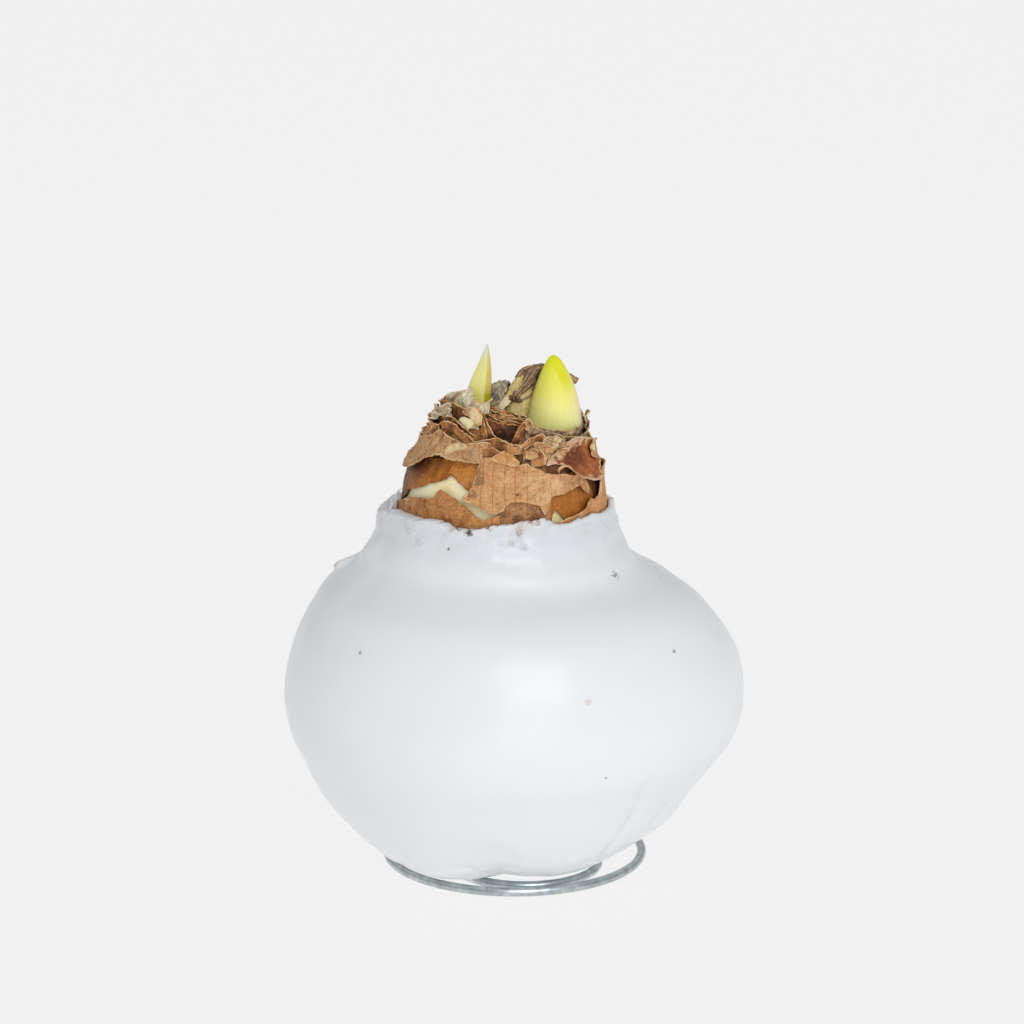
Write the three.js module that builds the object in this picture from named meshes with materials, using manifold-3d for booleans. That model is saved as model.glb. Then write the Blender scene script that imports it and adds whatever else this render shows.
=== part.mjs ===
// A waxed amaryllis bulb standing on a coil of wire.
// Millimetres, +Z up, the front faces -Y. The origin is on the ground, under the middle of the bulb.
// Directions round the bulb are bearings in degrees: 0 is the front, 90 the right, -90 the left.
import * as THREE from "three";
import { mergeVertices } from "three/addons/utils/BufferGeometryUtils.js";
import Module from "manifold-3d";

const wasm = await Module();
wasm.setup();

// ---------- driving dimensions ----------

const GAP = 0.3; // air between neighbouring pieces
const PAPER = 0.7; // thickness of a dry tunic

const WIRE = {
  thickness: 2,
  sides: 8,
  steps: 92,
  outer: { x: 0.6, y: 0, radius: 29 },
  inner: { x: 2.9, y: -8.2, radius: 16.6 },
  eye: { x: -2.5, y: 4, radius: 5 },
  // the wire starts, leaves the outer circle, reaches the inner one, leaves it, and turns up into the bulb
  bearings: [154, -180, -270, -480, -650],
  bend: 4,
  spikeTop: 30,
  clearance: 0.25,
};

const WAX = {
  wall: 3,
  rim: 82.5,
  throat: 73,
  // levels of the hollow inside, from the throat down to its floor
  inside: [69.5, 63, 54, 42, 28, 16],
  floor: 8.5,
  floorMiddle: -1.5,
  sides: 56,
  // height, radius, and how far the middle of the section stands off along X
  profile: [
    [2.3, 27, -0.5], [3.4, 29.8, -0.9], [5, 31.9, -1.2], [8, 34.9, -1.5], [12, 38, -1.7],
    [16, 41, -1.8], [20, 43.6, -1.7], [25, 46.6, -1.1], [30, 49.6, -0.3], [35, 51.2, 0.1],
    [40, 51.7, 0.1], [45, 51.1, 0], [50, 49.8, 0], [55, 47.6, -0.4], [60, 44.2, -0.8],
    [64, 40.2, -1.8], [67, 35.6, -2.8], [69, 32.8, -2.9], [72, 29.9, -3], [76, 27.8, -3.1],
    [80, 26.7, -3.5], [82.5, 26.4, -3.5],
  ],
  // the hollow under the foot: height and radius, from the middle outwards
  foot: [[5.4, 7], [4.6, 13], [2.8, 18], [2.3, 21.5]],
  footMiddle: -0.5,
  footRim: 1.5,
  // how far the foot stands out or in round its edge: bearing, offset
  lumps: [
    [-180, 0], [-140, 1.2], [-110, -0.8], [-85, 1.5], [-50, -0.6], [-33, 1.3], [-20, -0.6],
    [-2, -6.5], [8, -5], [22, -3.4], [36, -3.6], [50, -4.6], [74, -5.2], [92, 0.5], [130, -1], [180, 0],
  ],
  lumpFade: 6,
  // the coat lies close to the neck at the front and the back, from this height up to the rim
  pinch: { from: 70, depth: 1.4 },
  // slow waves of the poured surface: amplitude, waves round the body, height per radian
  waves: [[0.35, 3, 14], [0.25, 5, -9]],
};

// The neck leans a little: height, middle along X.
const NECK_LEAN = [[73, -2.1], [92, -2.1], [97, -1.7], [101, -1], [105, -0.8]];

// The bare flesh of the neck: height, radius.
const FLESH = {
  sides: 36,
  roomInWax: 0.8,
  neck: [[73, 22], [83, 21.5], [88, 20.8], [92, 19.4], [94.4, 18], [95.8, 16.8], [98, 16.6], [98.4, 15.4]],
  top: [[100.2, 15], [100.9, 10]],
  crown: 0.2,
};

// Each tunic: its run of bearings, its lower and upper edge as [bearing, height], its outside as
// [height, radius], and how far its torn edges stand out.
const TUNICS = [
  {
    name: "tunic_skin", color: 0x9c5f24, ring: true, from: -180, to: 180, columns: 52, rows: 3,
    low: [
      [-180, 76], [-112, 77], [-96, 80], [-88, 82], [-77, 84.2], [-63, 87.2], [-50, 89.7], [-38, 91.2],
      [-34, 92.6], [-28, 92], [-23, 90.7], [-17, 89], [-10, 83], [-3, 77], [10, 76], [180, 76],
    ],
    high: [[-180, 95], [-20, 95.4], [-12, 92.8], [0, 92.6], [60, 92.4], [110, 92.4], [150, 94], [180, 95]],
    outside: [[74, 23.2], [83, 22.7], [88, 22.1], [92, 20.9], [94.4, 19.6], [97, 18.5]],
    flare: [0, 0],
  },
  {
    name: "tunic_patch", color: 0xb07a46, from: -88, to: -1, columns: 22, rows: 2,
    low: [[-88, 74], [-1, 74]],
    high: [
      [-88, 82.6], [-77, 83.6], [-62, 85.8], [-49, 86.9], [-42, 87.6], [-37, 89.3], [-33, 89.1],
      [-26, 87.8], [-21, 86.8], [-17, 85.3], [-12, 83.3], [-6, 82.9], [-1, 83.3],
    ],
    outside: [[74, 24.2], [83, 23.7], [88, 23.1], [90, 22.8], [92, 22.3], [94.4, 21.4], [97.5, 20.3]],
    flare: [0, 0.2],
  },
  {
    name: "tunic_veined", color: 0xb98250, from: -14, to: 56, columns: 20, rows: 3,
    low: [
      [-14, 84.4], [-8, 84.2], [0, 85.6], [7, 87.4], [18, 87.2], [22, 84.7], [27, 88.6], [36, 88.7],
      [47, 89.1], [56, 88],
    ],
    high: [
      [-14, 96.2], [-6, 96.9], [3, 97.4], [8, 95.9], [15, 95.4], [20, 94.2], [28, 93.3], [36, 93.1],
      [42, 92.1], [51, 91.4], [56, 90],
    ],
    outside: [[74, 24.2], [83, 23.7], [88, 23.1], [90, 22.8], [92, 22.3], [94.4, 21.4], [97.5, 20.3]],
    flare: [0.2, 0.3],
  },
  {
    name: "tunic_wrap", color: 0xa9713f, from: 24, to: 271, columns: 50, rows: 2,
    low: [[24, 74], [271, 74]],
    high: [
      [24, 83.1], [36, 83.4], [46, 83.9], [52, 84.8], [60, 86.2], [70, 88.2], [76, 90.2], [82, 92.4],
      [90, 93.3], [104, 92.2], [126, 93.6], [150, 92.4], [172, 94], [196, 92.2], [220, 93.8], [244, 92.6],
      [258, 90.4], [264, 85], [271, 82.8],
    ],
    outside: [[74, 24.2], [83, 23.7], [88, 23.1], [90, 22.8], [92, 22.3], [94.4, 21.4]],
    flare: [0, 0.4],
  },
  {
    name: "tunic_skirt", color: 0xa87848, from: -150, to: -15, columns: 34, rows: 3,
    low: [
      [-150, 93.6], [-120, 94.4], [-100, 93.4], [-77, 91.8], [-65, 93.5], [-57, 95.2], [-47, 96.6],
      [-38, 96.8], [-24, 96.4], [-15, 96.2],
    ],
    high: [
      [-150, 99.2], [-120, 98.2], [-95, 98.5], [-75, 98.7], [-62, 99.7], [-52, 101.2], [-46, 101],
      [-37, 100.4], [-25, 99.7], [-15, 100],
    ],
    outside: [[91.5, 22.2], [94.4, 20.9], [96.7, 20], [99, 19.2], [101.5, 18.9]],
    flare: [0.8, 0.3],
  },
  {
    name: "tunic_fold", color: 0x8a5e38, from: -6, to: 62, columns: 18, rows: 2,
    low: [[-6, 93.2], [62, 93.2]],
    high: [[-6, 98.4], [4, 98.8], [14, 98], [28, 98.2], [44, 97.6], [62, 97.4]],
    outside: [[93, 20.1], [94.4, 19.6], [97, 18.9], [99, 18.8]],
    flare: [0, 0.2],
  },
  {
    name: "tunic_flap", color: 0x8c4a2c, from: 28, to: 82, columns: 18, rows: 3,
    low: [[28, 95], [36, 94.3], [44, 92.6], [52, 91.2], [60, 90.2], [68, 90.2], [76, 91.8], [82, 93.8]],
    high: [[28, 95.8], [36, 97.2], [43, 98.4], [52, 99.3], [63, 99], [74, 98], [82, 96.4]],
    outside: [[89.8, 24.2], [92, 22.4], [93.8, 21.4], [95, 20.9], [97, 20.2], [99.5, 19.6]],
    flare: [0.3, 0.8],
  },
  {
    name: "tunic_back", color: 0x9b6c42, from: 102, to: 205, columns: 28, rows: 3,
    low: [[102, 95], [120, 95.3], [140, 94.2], [160, 95.8], [180, 94.2], [205, 95.4]],
    high: [[102, 98.4], [118, 99.8], [138, 98.6], [160, 100.4], [182, 99], [205, 99.8]],
    outside: [[92.5, 22.2], [94.4, 21.2], [96.7, 20], [99, 19.2], [101.5, 18.9]],
    flare: [0.8, 0.3],
  },
  {
    name: "tunic_upper", color: 0x95653c, from: -206, to: 12, columns: 48, rows: 2,
    low: [[-206, 96.4], [12, 96.4]],
    high: [
      [-206, 101.6], [-182, 103.2], [-160, 102], [-136, 103.4], [-112, 102.2], [-90, 103], [-62, 103.1],
      [-50, 103.4], [-43, 103.3], [-35, 102], [-24, 101.2], [-10, 100.8], [0, 99.7], [12, 99.6],
    ],
    outside: [[96, 17.9], [101, 17.9], [103.5, 17.7]],
    flare: [0, 0.3],
  },
  {
    name: "tunic_collar", color: 0x8b6b4c, from: 14.5, to: 150, columns: 32, rows: 3,
    low: [[14.5, 96.4], [150, 96.4]],
    high: [
      [14.5, 104.2], [20, 103.4], [26, 102.4], [34, 101.4], [42, 100.6], [52, 100], [62, 99.7],
      [72, 100.2], [80, 101.6], [87, 103.4], [92, 103], [104, 101.4], [122, 103], [150, 101.8],
    ],
    outside: [[96, 17.9], [101, 17.9], [104.5, 18]],
    flare: [0, 0.3],
  },
  {
    name: "tunic_crown", color: 0x8d6f52, from: -172, to: -8, columns: 34, rows: 3,
    low: [[-172, 98.9], [-8, 98.9]],
    high: [
      [-172, 103.6], [-150, 105], [-128, 104], [-106, 106.2], [-84, 106], [-63, 106.5], [-45, 106.7],
      [-36, 106.4], [-26, 106.7], [-16, 105.2], [-8, 103.8],
    ],
    outside: [[98.5, 16.7], [103, 16.5], [106.5, 15.2]],
    flare: [0, 0.2],
  },
];

// Shoots and the old leaf are built up of level ellipses: [x, y, z, half width, half depth].
const SHOOT_LEFT = { sides: 14, sections: [
  [-6.4, -2, 93, 1.6, 1.3], [-6.9, -2, 98, 2.4, 1.9], [-7.4, -2, 103, 3, 2.3], [-7.3, -2, 108, 2.75, 2.1],
  [-6.8, -1.9, 110.6, 2.35, 1.8], [-6.1, -1.8, 114, 1.55, 1.3], [-5.7, -1.7, 117, 0.8, 0.75],
  [-5.5, -1.7, 118.4, 0.3, 0.3],
] };
const SHOOT_RIGHT = { sides: 18, sections: [
  [7.4, -2.2, 93, 3.4, 3], [8.6, -2.6, 97.5, 5, 4.3], [9.4, -3, 101.5, 5.95, 5.1], [9.5, -3, 104.5, 5.6, 4.9],
  [9.5, -2.9, 107.6, 4.85, 4.2], [9.5, -2.8, 110.4, 3.85, 3.4], [9.4, -2.8, 112.8, 2.7, 2.5],
  [9.3, -2.8, 114.9, 1.6, 1.6], [9.2, -2.8, 115.9, 0.7, 0.8],
] };
const OLD_LEAF_STUMP = { sides: 14, sections: [
  [1, 1.6, 97, 3.2, 2.6], [0.4, 1.8, 100, 4.6, 3.2], [-0.2, 1.8, 103, 5, 3.2], [0.8, 2, 106, 4.6, 2.9],
  [2.8, 2.4, 109, 3.6, 2.2], [4.6, 2.8, 111.4, 2.6, 1.7], [5.4, 3, 113, 1.3, 1],
] };
const OLD_LEAF_LOBE = { sides: 10, sections: [
  [-3.2, 0.4, 100, 1.5, 1.3], [-4, 0.6, 103, 1.8, 1.5], [-4.4, 0.8, 106, 1.6, 1.3], [-4, 0.9, 108.2, 0.9, 0.8],
] };
// The old leaf folds over to the right and ends in a dry tip: points of its ridge, and its half width.
const OLD_LEAF_FOLD = {
  sides: 8,
  steps: 8,
  width: 1.5,
  path: [[3, 2.4, 109], [6.4, 4, 111.2], [10.2, 4.8, 111.4], [14.6, 4.6, 109.8]],
};

// ---------- shared tools ----------

// The value at x on a list of [x, value] points, straight between them and held past the ends.
function along(points, x, column = 1) {
  const next = points.findIndex((point) => point[0] >= x);
  if (next < 0) return points[points.length - 1][column];
  if (next === 0) return points[0][column];
  const [before, after] = [points[next - 1], points[next]];
  const share = (x - before[0]) / (after[0] - before[0]);
  return before[column] + (after[column] - before[column]) * share;
}

function around(middleX, middleY, bearing, radius, z) {
  const turn = THREE.MathUtils.degToRad(bearing);
  return new THREE.Vector3(middleX + radius * Math.sin(turn), middleY - radius * Math.cos(turn), z);
}

function geometryOf(points, triangles) {
  const geometry = new THREE.BufferGeometry().setFromPoints(points);
  geometry.setIndex(triangles);
  return geometry;
}

// A closed body through level rings of equal size, from the lowest end of its surface to the last,
// with a fan over both ends. The rings run anticlockwise seen from above.
function bodyThrough(rings, firstMiddle, lastMiddle) {
  const count = rings[0].length;
  const points = [...rings.flat(), firstMiddle, lastMiddle];
  const triangles = [];
  const top = (rings.length - 1) * count;
  for (let side = 0; side < count; side++) {
    const beside = (side + 1) % count;
    triangles.push(rings.length * count, beside, side);
    triangles.push(rings.length * count + 1, top + side, top + beside);
    for (let level = 0; level < top; level += count) {
      triangles.push(level + side, level + beside, level + count + beside);
      triangles.push(level + side, level + count + beside, level + count + side);
    }
  }
  return geometryOf(points, triangles);
}

function ringAt(sides, pointAt) {
  return Array.from({ length: sides }, (_, side) => pointAt((side * 360) / sides));
}

// extra: how much wider than the body itself, for the room that it stands in
function ellipseBody({ sections, sides }, extra = 0) {
  const rings = sections.map(([x, y, z, halfWidth, halfDepth]) =>
    ringAt(sides, (bearing) => {
      const turn = THREE.MathUtils.degToRad(bearing);
      const across = (halfWidth + extra) * Math.sin(turn);
      return new THREE.Vector3(x + across, y - (halfDepth + extra) * Math.cos(turn), z);
    }),
  );
  const middle = ([x, y, z]) => new THREE.Vector3(x, y, z);
  const [first, last] = [sections[0], sections[sections.length - 1]];
  return bodyThrough(rings, middle(first), middle([last[0], last[1], last[2] + last[3]]));
}

function roundSection(radius, sides) {
  const corner = radius / Math.cos(Math.PI / sides);
  const outline = Array.from({ length: sides }, (_, side) => {
    const turn = ((side + 0.5) * 2 * Math.PI) / sides;
    return new THREE.Vector2(corner * Math.cos(turn), corner * Math.sin(turn));
  });
  return new THREE.Shape(outline);
}

function solidOf(geometry) {
  const bare = geometry.clone();
  bare.deleteAttribute("normal");
  bare.deleteAttribute("uv");
  const merged = mergeVertices(bare, 1e-4);
  return new wasm.Manifold(
    new wasm.Mesh({
      numProp: 3,
      vertProperties: merged.attributes.position.array,
      triVerts: new Uint32Array(merged.index.array),
    }),
  );
}

function geometryFrom(solid) {
  const { vertProperties, triVerts } = solid.getMesh();
  const geometry = new THREE.BufferGeometry();
  geometry.setAttribute("position", new THREE.BufferAttribute(vertProperties, 3));
  geometry.setIndex(new THREE.BufferAttribute(triVerts, 1));
  return geometry;
}

// ---------- the wire stand ----------

// One turn of the coil runs from the back round by the right, the front and the left.
function wirePath() {
  const height = WIRE.thickness / 2;
  const points = [];
  const addArc = (fromBearing, toBearing, step, startCircle, endCircle) => {
    for (let bearing = fromBearing; bearing > toBearing; bearing -= step) {
      const share = (fromBearing - bearing) / (fromBearing - toBearing);
      const eased = share * share * (3 - 2 * share);
      const mix = (key) => THREE.MathUtils.lerp(startCircle[key], endCircle[key], eased);
      points.push(around(mix("x"), mix("y"), bearing, mix("radius"), height));
    }
  };
  const [startBearing, outerEnd, innerStart, innerEnd, spikeBearing] = WIRE.bearings;
  addArc(startBearing, outerEnd, 10, WIRE.outer, WIRE.outer);
  addArc(outerEnd, innerStart, 10, WIRE.outer, WIRE.inner);
  addArc(innerStart, innerEnd, 12, WIRE.inner, WIRE.inner);
  addArc(innerEnd, spikeBearing, 17, WIRE.inner, WIRE.eye);
  const start = around(WIRE.eye.x, WIRE.eye.y, spikeBearing, WIRE.eye.radius, height);
  const heading = around(0, 0, spikeBearing - 90, 1, 0);
  for (let turn = 0; turn <= 90; turn += 22.5) {
    const angle = THREE.MathUtils.degToRad(turn);
    const point = start.clone().addScaledVector(heading, WIRE.bend * Math.sin(angle));
    point.z += WIRE.bend * (1 - Math.cos(angle));
    points.push(point);
  }
  const foot = points[points.length - 1];
  for (const share of [0.3, 0.6, 1]) {
    points.push(new THREE.Vector3(foot.x, foot.y, THREE.MathUtils.lerp(foot.z, WIRE.spikeTop, share)));
  }
  return new THREE.CatmullRomCurve3(points, false, "centripetal");
}

function wireGeometry(extra = 0) {
  return new THREE.ExtrudeGeometry(roundSection(WIRE.thickness / 2 + extra, WIRE.sides), {
    steps: WIRE.steps,
    bevelEnabled: false,
    extrudePath: wirePath(),
  });
}

// ---------- the wax coat and the bulb ----------

function waxRadius(bearing, z) {
  const wrapped = ((bearing + 540) % 360) - 180;
  const lump = along(WAX.lumps, wrapped) * Math.exp(-Math.max(z - WAX.profile[0][0], 0) / WAX.lumpFade);
  const turn = THREE.MathUtils.degToRad(wrapped);
  const sway = WAX.waves.reduce((sum, [size, count, rise]) => sum + size * Math.sin(count * turn + z / rise), 0);
  const pinch = WAX.pinch.depth * Math.cos(turn) ** 2 * THREE.MathUtils.smoothstep(z, WAX.pinch.from, WAX.rim);
  return along(WAX.profile, z) + lump + sway * Math.sin((Math.PI * z) / WAX.rim) - pinch;
}

function waxRing(z, inset) {
  const middle = along(WAX.profile, z, 2);
  return ringAt(WAX.sides, (bearing) => around(middle, 0, bearing, waxRadius(bearing, z) - inset, z));
}

function neckRing(z, radius, sides) {
  return ringAt(sides, (bearing) => around(along(NECK_LEAN, z), 0, bearing, radius + buckle(bearing, z), z));
}

function waxGeometry() {
  const footRings = WAX.foot.map(([z, radius]) =>
    ringAt(WAX.sides, (bearing) => {
      const reach = Math.min(radius, waxRadius(bearing, z) - WAX.footRim);
      return around(WAX.footMiddle, 0, bearing, reach, z);
    }),
  );
  const outerRings = WAX.profile.map(([z]) => waxRing(z, 0));
  const mouth = TUNICS.find((tunic) => tunic.name === "tunic_patch").outside[0][1] + GAP;
  const throatRings = [WAX.rim, WAX.throat].map((z) => neckRing(z, mouth, WAX.sides));
  const innerRings = [...WAX.inside, WAX.floor].map((z) => waxRing(z, WAX.wall));
  return bodyThrough(
    [...footRings, ...outerRings, ...throatRings, ...innerRings],
    new THREE.Vector3(WAX.footMiddle, 0, WAX.foot[0][0]),
    new THREE.Vector3(WAX.floorMiddle, 0, WAX.floor),
  );
}

function bulbGeometry() {
  const inset = WAX.wall + FLESH.roomInWax;
  const belly = [...WAX.inside, WAX.floor + GAP].reverse().map((z) => {
    const middle = along(WAX.profile, z, 2);
    return ringAt(FLESH.sides, (bearing) => around(middle, 0, bearing, waxRadius(bearing, z) - inset, z));
  });
  const neck = [...FLESH.neck, ...FLESH.top].map(([z, radius]) => neckRing(z, radius, FLESH.sides));
  const crest = FLESH.top[FLESH.top.length - 1][0] + FLESH.crown;
  return bodyThrough(
    [...belly, ...neck],
    new THREE.Vector3(WAX.floorMiddle, 0, WAX.floor + GAP),
    new THREE.Vector3(along(NECK_LEAN, crest), 0, crest),
  );
}

// ---------- the tunics ----------

// The flesh and all tunics share one slow buckle above the wax, so that their gaps stay even.
function buckle(bearing, z) {
  const turn = THREE.MathUtils.degToRad(bearing);
  const above = THREE.MathUtils.smoothstep(z, WAX.rim, WAX.rim + 8);
  return above * (0.25 * Math.sin(5 * turn + z / 5) + 0.12 * Math.sin(8 * turn - z / 6));
}

function tunicGeometry({ ring, from, to, columns, rows, low, high, outside, flare }) {
  const points = [];
  const loop = 2 * (rows + 1);
  const columnCount = ring ? columns : columns + 1;
  for (let column = 0; column < columnCount; column++) {
    const bearing = from + ((to - from) * column) / columns;
    const [bottom, top] = [along(low, bearing), along(high, bearing)];
    const outer = [];
    const inner = [];
    for (let row = 0; row <= rows; row++) {
      const rise = row / rows;
      const z = THREE.MathUtils.lerp(bottom, top, rise);
      const flared = flare[0] * (1 - rise) ** 2 + flare[1] * rise ** 2;
      const radius = along(outside, z) + flared + buckle(bearing, z);
      const middle = along(NECK_LEAN, z);
      outer.push(around(middle, 0, bearing, radius, z));
      inner.unshift(around(middle, 0, bearing, radius - PAPER, z));
    }
    points.push(...outer, ...inner);
  }
  const triangles = [];
  for (let column = 0; column < columns; column++) {
    const here = column * loop;
    const next = ((column + 1) % columnCount) * loop;
    for (let side = 0; side < loop; side++) {
      const beside = (side + 1) % loop;
      triangles.push(here + side, next + side, next + beside);
      triangles.push(here + side, next + beside, here + beside);
    }
  }
  if (!ring) {
    const last = columns * loop;
    for (let row = 0; row < rows; row++) {
      const across = loop - 1 - row;
      triangles.push(row, row + 1, across - 1, row, across - 1, across);
      triangles.push(last + row, last + across - 1, last + row + 1, last + row, last + across, last + across - 1);
    }
  }
  return geometryOf(points, triangles);
}

// ---------- the old leaf ----------

function roomFor(body) {
  return solidOf(ellipseBody(body, GAP));
}

function oldLeafGeometry() {
  const { sides, steps, width, path } = OLD_LEAF_FOLD;
  const ridge = new THREE.CatmullRomCurve3(path.map((point) => new THREE.Vector3(...point)));
  const fold = new THREE.ExtrudeGeometry(roundSection(width, sides), {
    steps,
    bevelEnabled: false,
    extrudePath: ridge,
  });
  const parts = [fold, ellipseBody(OLD_LEAF_STUMP), ellipseBody(OLD_LEAF_LOBE)];
  const leaf = parts.map(solidOf).reduce((whole, part) => whole.add(part));
  return geometryFrom(leaf.subtract(roomFor(SHOOT_LEFT)).subtract(roomFor(SHOOT_RIGHT)));
}

// ---------- the assembly ----------

const amaryllis = new THREE.Group();

function addPiece(name, geometry, color, roughness, metalness = 0) {
  const piece = new THREE.Mesh(geometry, new THREE.MeshStandardMaterial({ color, roughness, metalness }));
  piece.name = name;
  amaryllis.add(piece);
}

const wireRoom = solidOf(wireGeometry(WIRE.clearance));
const leafRooms = [SHOOT_LEFT, SHOOT_RIGHT, OLD_LEAF_STUMP, OLD_LEAF_LOBE].map(roomFor);
const drilledBulb = [wireRoom, ...leafRooms].reduce(
  (solid, room) => solid.subtract(room),
  solidOf(bulbGeometry()),
);

addPiece("wire_stand", wireGeometry(), 0x8f9f9c, 0.35, 1);
addPiece("wax_coat", geometryFrom(solidOf(waxGeometry()).subtract(wireRoom)), 0xf1f2f4, 0.35);
addPiece("bulb", geometryFrom(drilledBulb), 0xe6e2b4, 0.55);
for (const tunic of TUNICS) {
  addPiece(tunic.name, tunicGeometry(tunic), tunic.color, 0.8);
}
addPiece("old_leaf", oldLeafGeometry(), 0x8a7568, 0.85);
addPiece("shoot_left", ellipseBody(SHOOT_LEFT), 0xdfd57f, 0.45);
addPiece("shoot_right", ellipseBody(SHOOT_RIGHT), 0xe6e36a, 0.45);

export default amaryllis;
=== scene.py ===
"""A waxed amaryllis bulb on a coil of galvanised wire: its fine forms and its finishes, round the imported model."""

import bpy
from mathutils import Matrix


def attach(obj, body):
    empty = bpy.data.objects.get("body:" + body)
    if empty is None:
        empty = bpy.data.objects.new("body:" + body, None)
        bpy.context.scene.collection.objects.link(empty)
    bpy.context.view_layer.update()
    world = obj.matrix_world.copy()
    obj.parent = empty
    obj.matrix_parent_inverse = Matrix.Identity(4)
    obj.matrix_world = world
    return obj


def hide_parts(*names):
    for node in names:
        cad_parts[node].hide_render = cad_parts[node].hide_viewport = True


bl_info = {
    "name": "Waxed Amaryllis Bulb",
    "version": (1, 0, 0),
    "blender": (4, 5, 0),
    "location": "3D View > Sidebar > Bulb",
    "description": "Builds a waxed amaryllis bulb with torn dry tunics, two shoots and a wire stand",
    "category": "Add Mesh",
}

import functools
import math

import bpy
import numpy as np
from mathutils import Vector, noise

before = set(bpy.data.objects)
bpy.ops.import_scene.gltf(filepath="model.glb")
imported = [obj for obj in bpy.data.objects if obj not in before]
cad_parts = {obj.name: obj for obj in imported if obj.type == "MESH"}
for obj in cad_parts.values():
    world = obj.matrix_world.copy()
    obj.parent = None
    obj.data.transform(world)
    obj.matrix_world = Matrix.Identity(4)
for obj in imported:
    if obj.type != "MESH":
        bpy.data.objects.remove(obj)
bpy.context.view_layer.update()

# Sizes are in millimetres, and directions round the bulb are bearings in degrees:
# 0 is the front, 90 the right, -90 the left. Points are turned to metres where a mesh gets them.
MM = 0.001
BODY = "root"
# Points nearer than this are one.
MERGE = 0.002
# The radius at which bearings on the neck are turned to lengths.
NECK_REACH = 20.0
# How far from a tear a point counts that has none near it.
FAR_FROM_TEAR = 9.0
# What can mark a sheet: dark stains, which also carry painted shade in hollows and under overlapping layers, bare pale
# places and grey ones.
SPOT_KINDS = ("stain", "pale", "grey")
SETTINGS = "waxed_bulb"

# ---------- the form that the solids share ----------

NECK_LEAN = [[73, -2.1], [92, -2.1], [97, -1.7], [101, -1], [105, -0.8], [110, -0.6]]
WAX_PROFILE = [
    [2.3, 27, -0.5], [3.4, 29.8, -0.9], [5, 31.9, -1.2], [8, 34.9, -1.5], [12, 38, -1.7], [16, 41, -1.8],
    [20, 43.6, -1.7], [25, 46.6, -1.1], [30, 49.6, -0.3], [35, 51.2, 0.1], [40, 51.7, 0.1], [45, 51.1, 0],
    [50, 49.8, 0], [55, 47.6, -0.4], [60, 44.2, -0.8], [64, 40.2, -1.8], [67, 35.6, -2.8], [69, 32.8, -2.9],
    [72, 29.9, -3], [76, 27.8, -3.1], [80, 26.7, -3.5], [82.5, 26.4, -3.5], [85, 26.2, -3.5],
]
WAX_LUMPS = [
    [-180, 0], [-140, 1.2], [-110, -0.8], [-85, 1.5], [-50, -0.6], [-33, 1.3], [-20, -0.6], [-2, -6.5],
    [8, -5], [22, -3.4], [36, -3.6], [50, -4.6], [74, -5.2], [92, 0.5], [130, -1], [180, 0],
]
WAX = {
    "columns": 400, "foot_inset": 3.2, "foot_hollow": 3.1, "wall": 3, "rim": 82.5, "floor": 8.5, "lump_fade": 6,
    "pinch_from": 70, "pinch": 1.4,
}
WAX_WAVES = [[0.35, 3, 14], [0.25, 5, -9]]
# The ragged upper edge of the coat: bearing, height.
WAX_RIM = [
    [-180, 82.6], [-150, 81.9], [-128, 81.8], [-110, 81.2], [-95, 80.7], [-80, 81.5], [-70, 82.9], [-56, 82.9],
    [-44, 82.8], [-34, 83.7], [-30, 82.8], [-25, 82.2], [-23, 81.4], [-21.5, 82.2], [-18, 82.2], [-16, 81.1],
    [-14.5, 82.2], [-6, 82.5], [-1, 83.1], [5, 83.4], [15, 83.8], [23, 84.1], [29, 82.8], [35, 82.6], [41, 83],
    [53, 83.2], [64, 82.7], [80, 82.4], [88, 83.3], [100, 82.6], [124, 82], [150, 83], [180, 82.6],
]
# How far the coat's edge stands off the paper inside it: bearing, gap.
WAX_GAP = [[-180, 0.6], [-130, 0.5], [-100, 0.3], [-66, 0.15], [100, 0.15], [140, 0.5], [180, 0.6]]
# Grooves in the coat: a line of [bearing, height], half width, depth.
WAX_GROOVES = [
    ([[40, 8], [40, 13.7], [41, 20.4], [37.5, 28.4]], 1.6, 0.9),
    ([[66, 31], [61, 26], [59, 21], [58, 16], [58, 12]], 2, 0.9),
    ([[11.5, 84], [11, 79.9], [13, 78.4]], 0.45, 0.7),
    ([[1.5, 79.4], [7.5, 79.4], [13.5, 78.2]], 0.5, 0.5),
    ([[83, 66.8], [84, 65.6]], 0.6, 0.6),
    ([[-66, 7], [-45, 5.4], [-25, 7.9], [-14, 7.7], [-11, 4.9]], 1.1, 0.45),
    ([[0.5, 13.4], [4, 10.4]], 1.8, 0.5),
    ([[-11.5, 4.4], [2.5, 7.7], [14.5, 4.7]], 1.3, 0.5),
]
# Bumps on the coat: bearing, height, radius, how far they stand out.
WAX_BUMPS = [
    (-92.5, 68.4, 1.7, 2.9), (-92, 75.7, 1.9, 0.2), (-84, 71.5, 2.6, 0.8), (-74, 74, 2.4, 0.6), (-58, 69, 4.5, -0.7),
    (-4, 68, 9, 0.5),
    (14, 81, 5, 0.55), (30, 80, 6, 0.4), (70, 33, 10, 0.8), (-10, 9, 7, -0.8), (-62, 78, 4, -0.4),
    (-75, 5.2, 5, -2.9), (72, 13, 6, 1.8), (76, 24, 5, 1), (97, 65.4, 6, -3.6), (96, 56, 8, -0.6), (150, 30, 14, 1.2),
    (-140, 24, 12, -1), (111, 63.5, 5, -1.5),
]
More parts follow.
